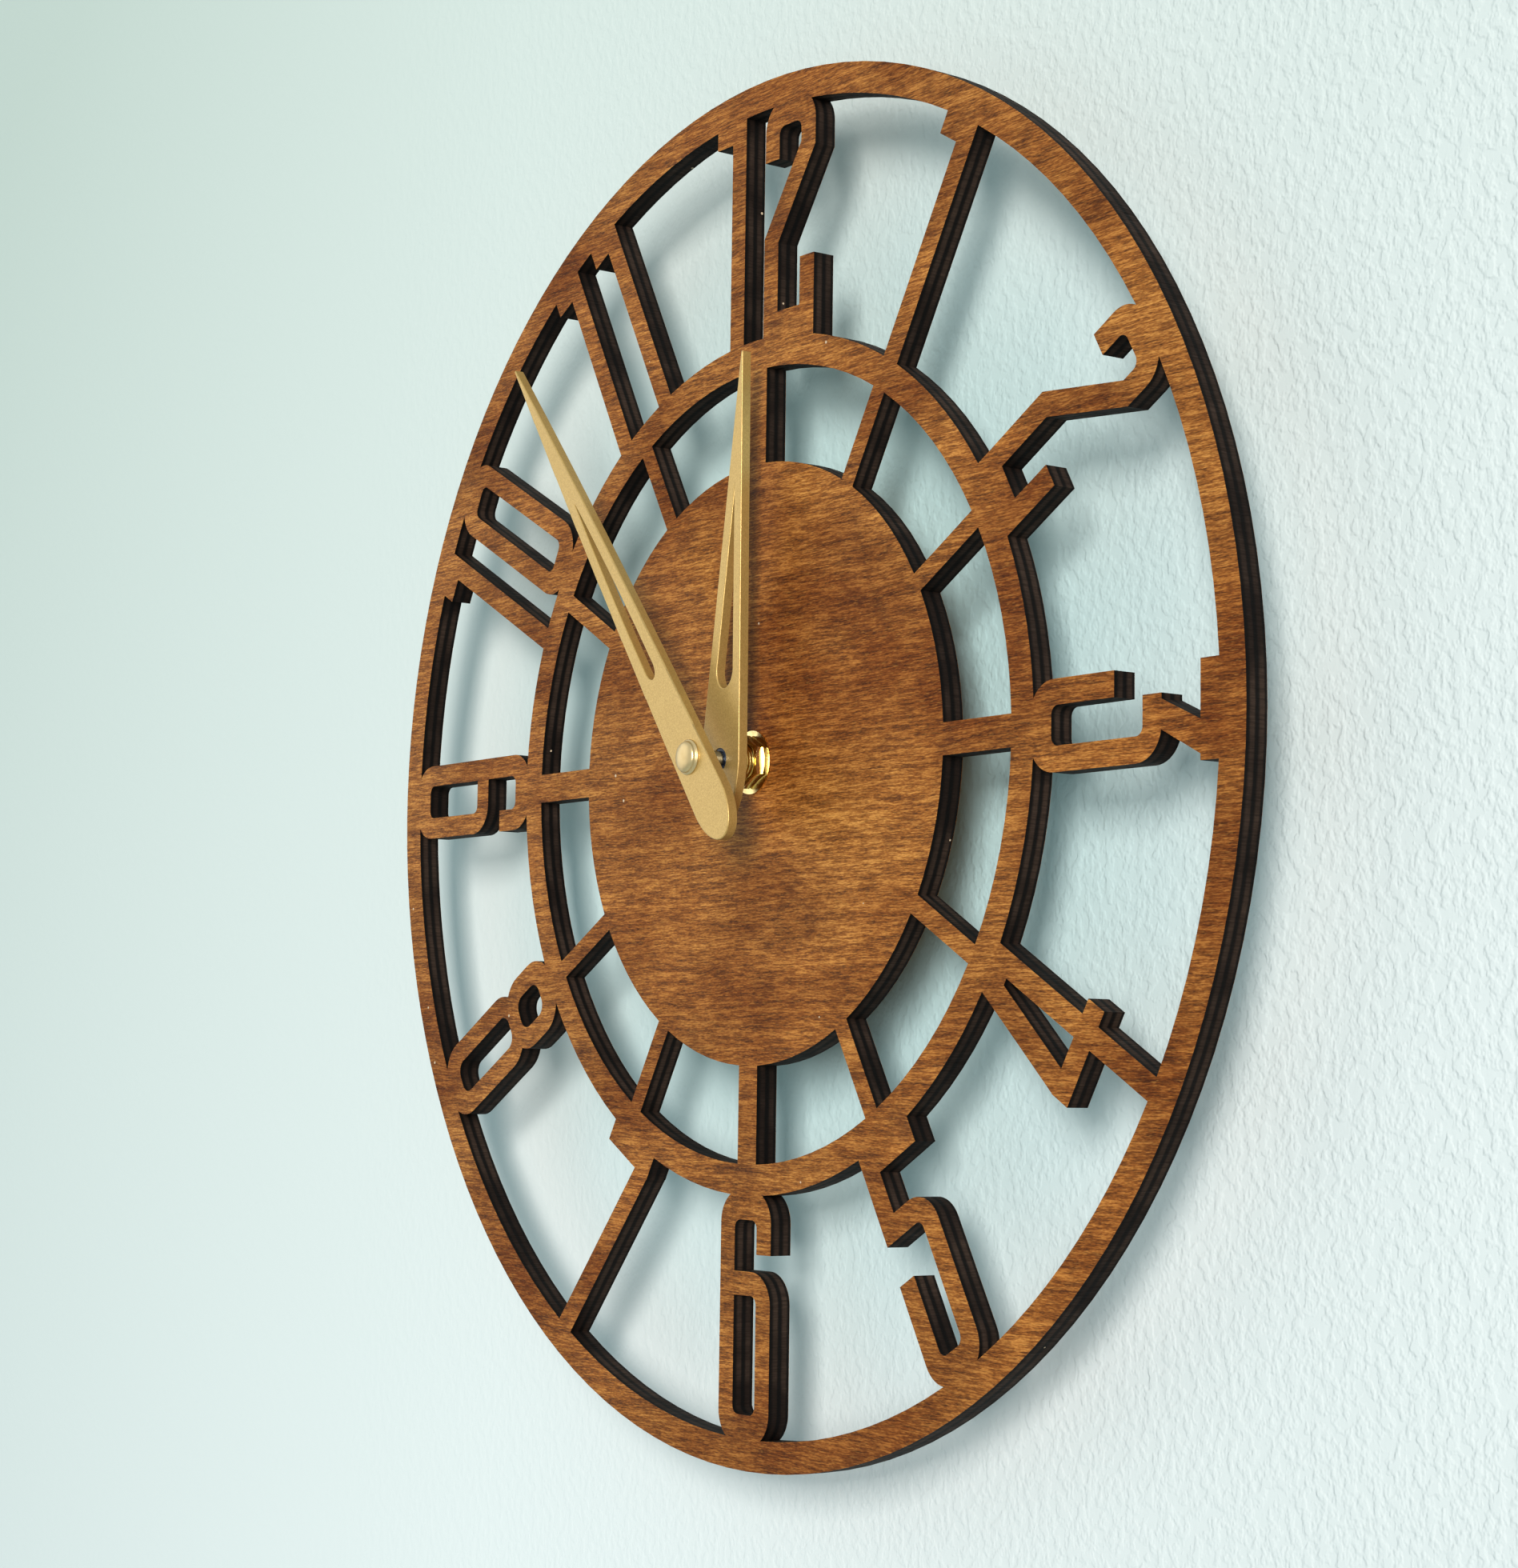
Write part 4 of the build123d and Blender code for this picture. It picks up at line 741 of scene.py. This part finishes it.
def makeHexNut():
    low, high = nutSettings["low"], nutSettings["high"]
    corner = nutSettings["acrossFlats"] / 2 / math.cos(math.pi / nutSettings["flats"])
    nut = addCylinder(corner, low, high, nutSettings["flats"])

    # A turned blank with coned faces takes the corners off
    blank = addCylinder(corner + nutSettings["clearance"], low, high, nutSettings["blankSteps"])
    shrink = 1 - nutSettings["chamferIn"] / corner
    facing = nutSettings["endFacing"]
    for level in (low, high):
        selectWhere(lambda face: abs(face.normal.y) > facing and atLevel(face.center, level))
        bpy.ops.mesh.extrude_region_move()
        bpy.ops.transform.resize(value=(shrink, 1, shrink), center_override=(0, -level * mm, 0))
    rim = (corner - nutSettings["rim"]) * mm
    for level, inwards in ((low, -1), (high, 1)):
        selectWhere(lambda vertex: atLevel(vertex.co, level) and vertex.co.xz.length > rim, "VERT")
        bpy.ops.transform.translate(value=(0, inwards * nutSettings["chamferAlong"] * mm, 0))
    bpy.ops.object.mode_set(mode="OBJECT")
    combine(nut, blank, "INTERSECT")

    overrun = shapeSettings["overrun"]
    bore = addCylinder(bushSettings["crest"] + bushSettings["clearance"], low - overrun, high + overrun)
    combine(nut, bore, "DIFFERENCE")
    finishModifier(nut, "BEVEL", width=nutSettings["edge"] * mm, segments=2, limit_method="ANGLE",
                   angle_limit=math.radians(nutSettings["edgeDegrees"]))
    finishPiece(nut, "hexNut", "base", "polished_brass", "hex_nut", nutSettings["smoothDegrees"])


# Coil: one layer of enamelled wire wound on the bobbin, turn against turn
coilSettings = {
    "wire": 0.24,
    "shoulderIn": 0.14,  # shares of the wire
    "shoulderAt": 0.16,
    "bore": 2.11,
    "steps": 24,
    "boreSteps": 64,
    "smoothDegrees": 50,
}


def makeCoil():
    low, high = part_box("coil_winding")
    middle = (low + high) / 2
    outer = (high.z - low.z) / 2 / mm
    length = (high.x - low.x) / mm
    wire = coilSettings["wire"]
    shoulder, along = wire * coilSettings["shoulderIn"], wire * coilSettings["shoulderAt"]
    outline = [(outer - wire / 2, 0.0), (outer - shoulder, along), (outer, wire / 2),
               (outer - shoulder, wire - along), (outer - wire / 2, wire)]
    coil = windOutline(outline, coilSettings["steps"], wire, length)
    bpy.ops.object.select_all(action="DESELECT")
    bpy.ops.mesh.primitive_cylinder_add(
        vertices=coilSettings["boreSteps"], radius=coilSettings["bore"] * mm,
        depth=(length + 2 * shapeSettings["overrun"]) * mm, location=(0, 0, length / 2 * mm)
    )
    combine(coil, bpy.context.object, "DIFFERENCE")
    coil.rotation_euler = (0, math.pi / 2, 0)
    coil.location = (low.x, middle.y, middle.z)
    finishPiece(coil, "coilWinding", "base", "copper_wire", "coil_winding", coilSettings["smoothDegrees"])


# Cap on the minute hand: a turned button with a nearly flat face, a round shoulder and a soft foot.
# The face's points are radii and heights above the foot
capSettings = {
    "face": [(0.0, 1.90), (0.8, 1.87), (1.6, 1.78), (2.3, 1.62), (2.8, 1.44), (3.10, 1.27), (3.25, 1.08),
             (3.31, 0.86), (3.36, 0.66), (3.45, 0.53), (3.58, 0.47), (3.70, 0.41), (3.78, 0.30),
             (3.80, 0.16), (3.80, 0.0)],
    "bore": 1.31,
    "boreDepth": 1.11,
    "steps": 96,
    "smoothDegrees": 50,
}


def makeHandCap():
    foot = -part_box("hand_cap")[1].y / mm
    bore, deep = capSettings["bore"], capSettings["boreDepth"]
    outline = capSettings["face"] + [(bore, 0.0), (bore, deep), (0.0, deep)]
    cap = turnOutline([(radius, foot + height) for radius, height in outline], capSettings["steps"])
    weldSeams()
    cap.rotation_euler = (math.pi / 2, 0, 0)
    finishPiece(cap, "handCap", "minute", "polished_brass", "hand_cap", capSettings["smoothDegrees"],
                materials["cap_satin"])


makeThreadedBush()
makeHexNut()
makeCoil()
makeHandCap()


# Paint of the wall and floor: seen by the camera and by glossy surfaces from the room's side only
paintSettings = {
    "roughness": 0.9,
    "near": (0.767, 0.793, 0.798, 1),
    # painted shade: the wall's colour goes from near to this darker, greener one up the wall and to the
    # left
    "paintedShadeHigh": (0.567, 0.633, 0.587, 1),
    "slant": 0.5,
    "paintedShadeRise": (-0.15, 0.5),  # m, up the wall
    "nearLamp": (0.86, 0.87, 0.87, 1),  # evens out the side of the wall that the lamps light most
    "towardsLamp": ((-0.14, 0.15), (0.25, 0.7)),  # m, along the wall
    # painted shadow: the wall round the dial's middle is darkened and tinted mint, fading out between
    # shadeFrom and shadeTo
    "paintedShadeBehindDial": (0.72, 0.97, 1.00, 1),  # the mint of the shaded wall, strongest at the middle
    "shadeFrom": 50,  # mm from the middle
    "shadeTo": 150,
    "rollerPeel": {"lengths": (2.5, 2.4, 3.2), "detail": 2.0, "low": 0.43, "high": 0.61},
    "fine": {"lengths": (1.1, 1.1, 1.4), "detail": 1.0, "low": 0.3, "high": 0.7},
    "fineShare": 0.12,
    "peel": 0.12,  # mm
    "laidOn": ((-0.22, 0.06), (0.15, 1.0)),  # the peel's share along the wall
    "thicker": ((0.06, 0.18), (0.0, 0.5)),  # and what the right side has on top of it
}


def makeWallPaint():
    even = {"Roughness": paintSettings["roughness"], "Specular IOR Level": 0.0}
    material, tree, shader = newMaterial("palePaint", even)
    point = objectPoint(tree)
    apart = addNode(tree, "ShaderNodeSeparateXYZ", {0: point}).outputs
    # Painted shade: darker and greener up the wall and to the left
    slant = mathNode(tree, "SUBTRACT", apart[2], scaled(tree, apart[0], paintSettings["slant"]))
    tone = rangeNode(tree, slant, paintSettings["paintedShadeRise"])
    paint = mixColour(tree, tone, paintSettings["near"], paintSettings["paintedShadeHigh"])
    for ends in paintSettings["towardsLamp"]:
        towardsLamp = rangeNode(tree, apart[0], ends)
        paint = mixColour(tree, towardsLamp, paint, paintSettings["nearLamp"], "MULTIPLY")
    # Painted shadow: the wall is darkened and tinted mint round the dial's middle
    fromMiddle = addNode(tree, "ShaderNodeVectorMath", {0: point}, operation="LENGTH").outputs["Value"]
    shadeEnds = (paintSettings["shadeFrom"] * mm, paintSettings["shadeTo"] * mm)
    shade = rangeNode(tree, fromMiddle, shadeEnds, (1.0, 0.0))
    rollerPeel = fibre(tree, point, **paintSettings["rollerPeel"])
    fine = scaled(tree, fibre(tree, point, **paintSettings["fine"]), paintSettings["fineShare"])
    laidOn = mathNode(tree, "ADD", rangeNode(tree, apart[0], *paintSettings["laidOn"]),
                      rangeNode(tree, apart[0], *paintSettings["thicker"]))
    relief = scaled(tree, mathNode(tree, "ADD", rollerPeel, fine), laidOn)
    connect(tree, shader, {
        "Base Color": mixColour(tree, shade, paint, paintSettings["paintedShadeBehindDial"], "MULTIPLY"),
        "Normal": bumpNode(tree, relief, paintSettings["peel"]),
    })
    facing = mathNode(tree, "SUBTRACT", 1.0, addNode(tree, "ShaderNodeNewGeometry").outputs["Backfacing"])
    shown = scaled(tree, seenDirectly(tree), facing)
    clear = addNode(tree, "ShaderNodeBsdfTransparent").outputs[0]
    mixed = addNode(tree, "ShaderNodeMixShader", {0: shown, 1: clear, 2: shader.outputs[0]}).outputs[0]
    tree.links.new(mixed, tree.nodes["Material Output"].inputs["Surface"])
    return material


# Wall and floor: one pale sweep, in metres but for the wall's distance
sweepSettings = {
    "wall": 0.4,  # behind the case, mm
    "halfWidth": 3.0,
    "top": 2.0,
    "floor": -1.45,
    "reach": 4.0,
    "bend": 0.5,
    "bendSteps": 24,
}


def makeSweep():
    top, floor, wall = sweepSettings["top"], sweepSettings["floor"], sweepSettings["wall"] * mm
    bpy.ops.object.select_all(action="DESELECT")
    middle = (0, wall, (top + floor) / 2)
    bpy.ops.mesh.primitive_plane_add(size=1, location=middle, rotation=(math.pi / 2, 0, 0))
    sweep = bpy.context.object
    sweep.scale = (2 * sweepSettings["halfWidth"], top - floor, 1)
    applyPlace()
    selectEdges(sweep, lambda point: abs(point.z - floor) < mm)
    bpy.ops.mesh.extrude_region_move(TRANSFORM_OT_translate={"value": (0, -sweepSettings["reach"], 0)})
    selectEdges(sweep, lambda point: abs(point.z - floor) < mm and abs(point.y - wall) < mm)
    bpy.ops.mesh.bevel(offset=sweepSettings["bend"], segments=sweepSettings["bendSteps"])
    bpy.ops.object.mode_set(mode="OBJECT")
    bpy.ops.object.shade_smooth()
    sweep.name = "wallAndFloor"
    sweep.data.materials.append(makeWallPaint())


makeSweep()
print("wall and floor made")


# Light: a window and a lower lamp at the front right, a broad fill at the left, a weak lamp behind
# and one over the floor
lampSpread = 120  # degrees
lampSettings = {
    "window": {"place": (2.0, -2.4, 0.8), "size": (1.0, 0.9), "watts": 28.5, "colour": (1.0, 0.955, 0.90)},
    "side": {"place": (2.35, -2.5, 0.05), "size": (1.0, 1.0), "watts": 21.5, "colour": (1.0, 0.955, 0.90)},
    "fill": {"place": (-2.9, -2.3, 0.7), "size": (3.0, 3.0), "watts": 10.6, "colour": (1.0, 0.965, 0.92)},
    "behind": {"place": (0.7, 1.6, 0.7), "size": (1.2, 1.2), "watts": 5, "colour": (0.92, 1.0, 1.0)},
    "overFloor": {"place": (0.0, -2.0, -0.45), "size": (5.0, 3.4), "watts": 20, "colour": (1.0, 0.96, 0.92),
                  "aim": (0.0, -2.0, -1.45)},
}


def addLamp(name, place, size, watts, colour, aim=(0.0, 0.0, 0.0)):
    bpy.ops.object.select_all(action="DESELECT")
    bpy.ops.object.light_add(type="AREA", location=place)
    lamp = bpy.context.object
    lamp.name = name
    lamp.rotation_mode = "QUATERNION"
    lamp.rotation_quaternion = (Vector(aim) - Vector(place)).to_track_quat("-Z", "Y")
    lamp.data.shape = "RECTANGLE"
    lamp.data.size, lamp.data.size_y = size
    lamp.data.energy = watts
    lamp.data.spread = math.radians(lampSpread)
    lamp.data.color = colour


for name, lamp in lampSettings.items():
    addLamp(name, **lamp)


# Room light, weaker from behind the wall, and a plain backdrop where nothing else is seen
worldSettings = {
    "room": 0.45,
    "behindWall": 0.22,
    "turns": (-0.1, 0.25),  # from the room's side to behind the wall
    "colour": (0.64, 0.95, 1.0, 1),
    "backdrop": (0.84, 0.87, 0.86, 1),
}


def makeWorld():
    world = bpy.data.worlds.new("room")
    bpy.context.scene.world = world
    world.use_nodes = True
    tree = world.node_tree
    ambient = tree.nodes["Background"]
    ambient.inputs["Color"].default_value = worldSettings["colour"]
    towards = addNode(tree, "ShaderNodeTexCoord").outputs["Generated"]
    behind = addNode(tree, "ShaderNodeSeparateXYZ", {0: towards}).outputs[1]
    strengths = (worldSettings["room"], worldSettings["behindWall"])
    connect(tree, ambient, {"Strength": rangeNode(tree, behind, worldSettings["turns"], strengths)})
    backdrop = addNode(tree, "ShaderNodeBackground", {"Color": worldSettings["backdrop"], "Strength": 1.0})
    values = {0: seenDirectly(tree), 1: ambient.outputs[0], 2: backdrop.outputs[0]}
    mixed = addNode(tree, "ShaderNodeMixShader", values).outputs[0]
    tree.links.new(mixed, tree.nodes["World Output"].inputs["Surface"])


makeWorld()
bpy.context.scene.view_settings.view_transform = "Standard"
print("lights set")
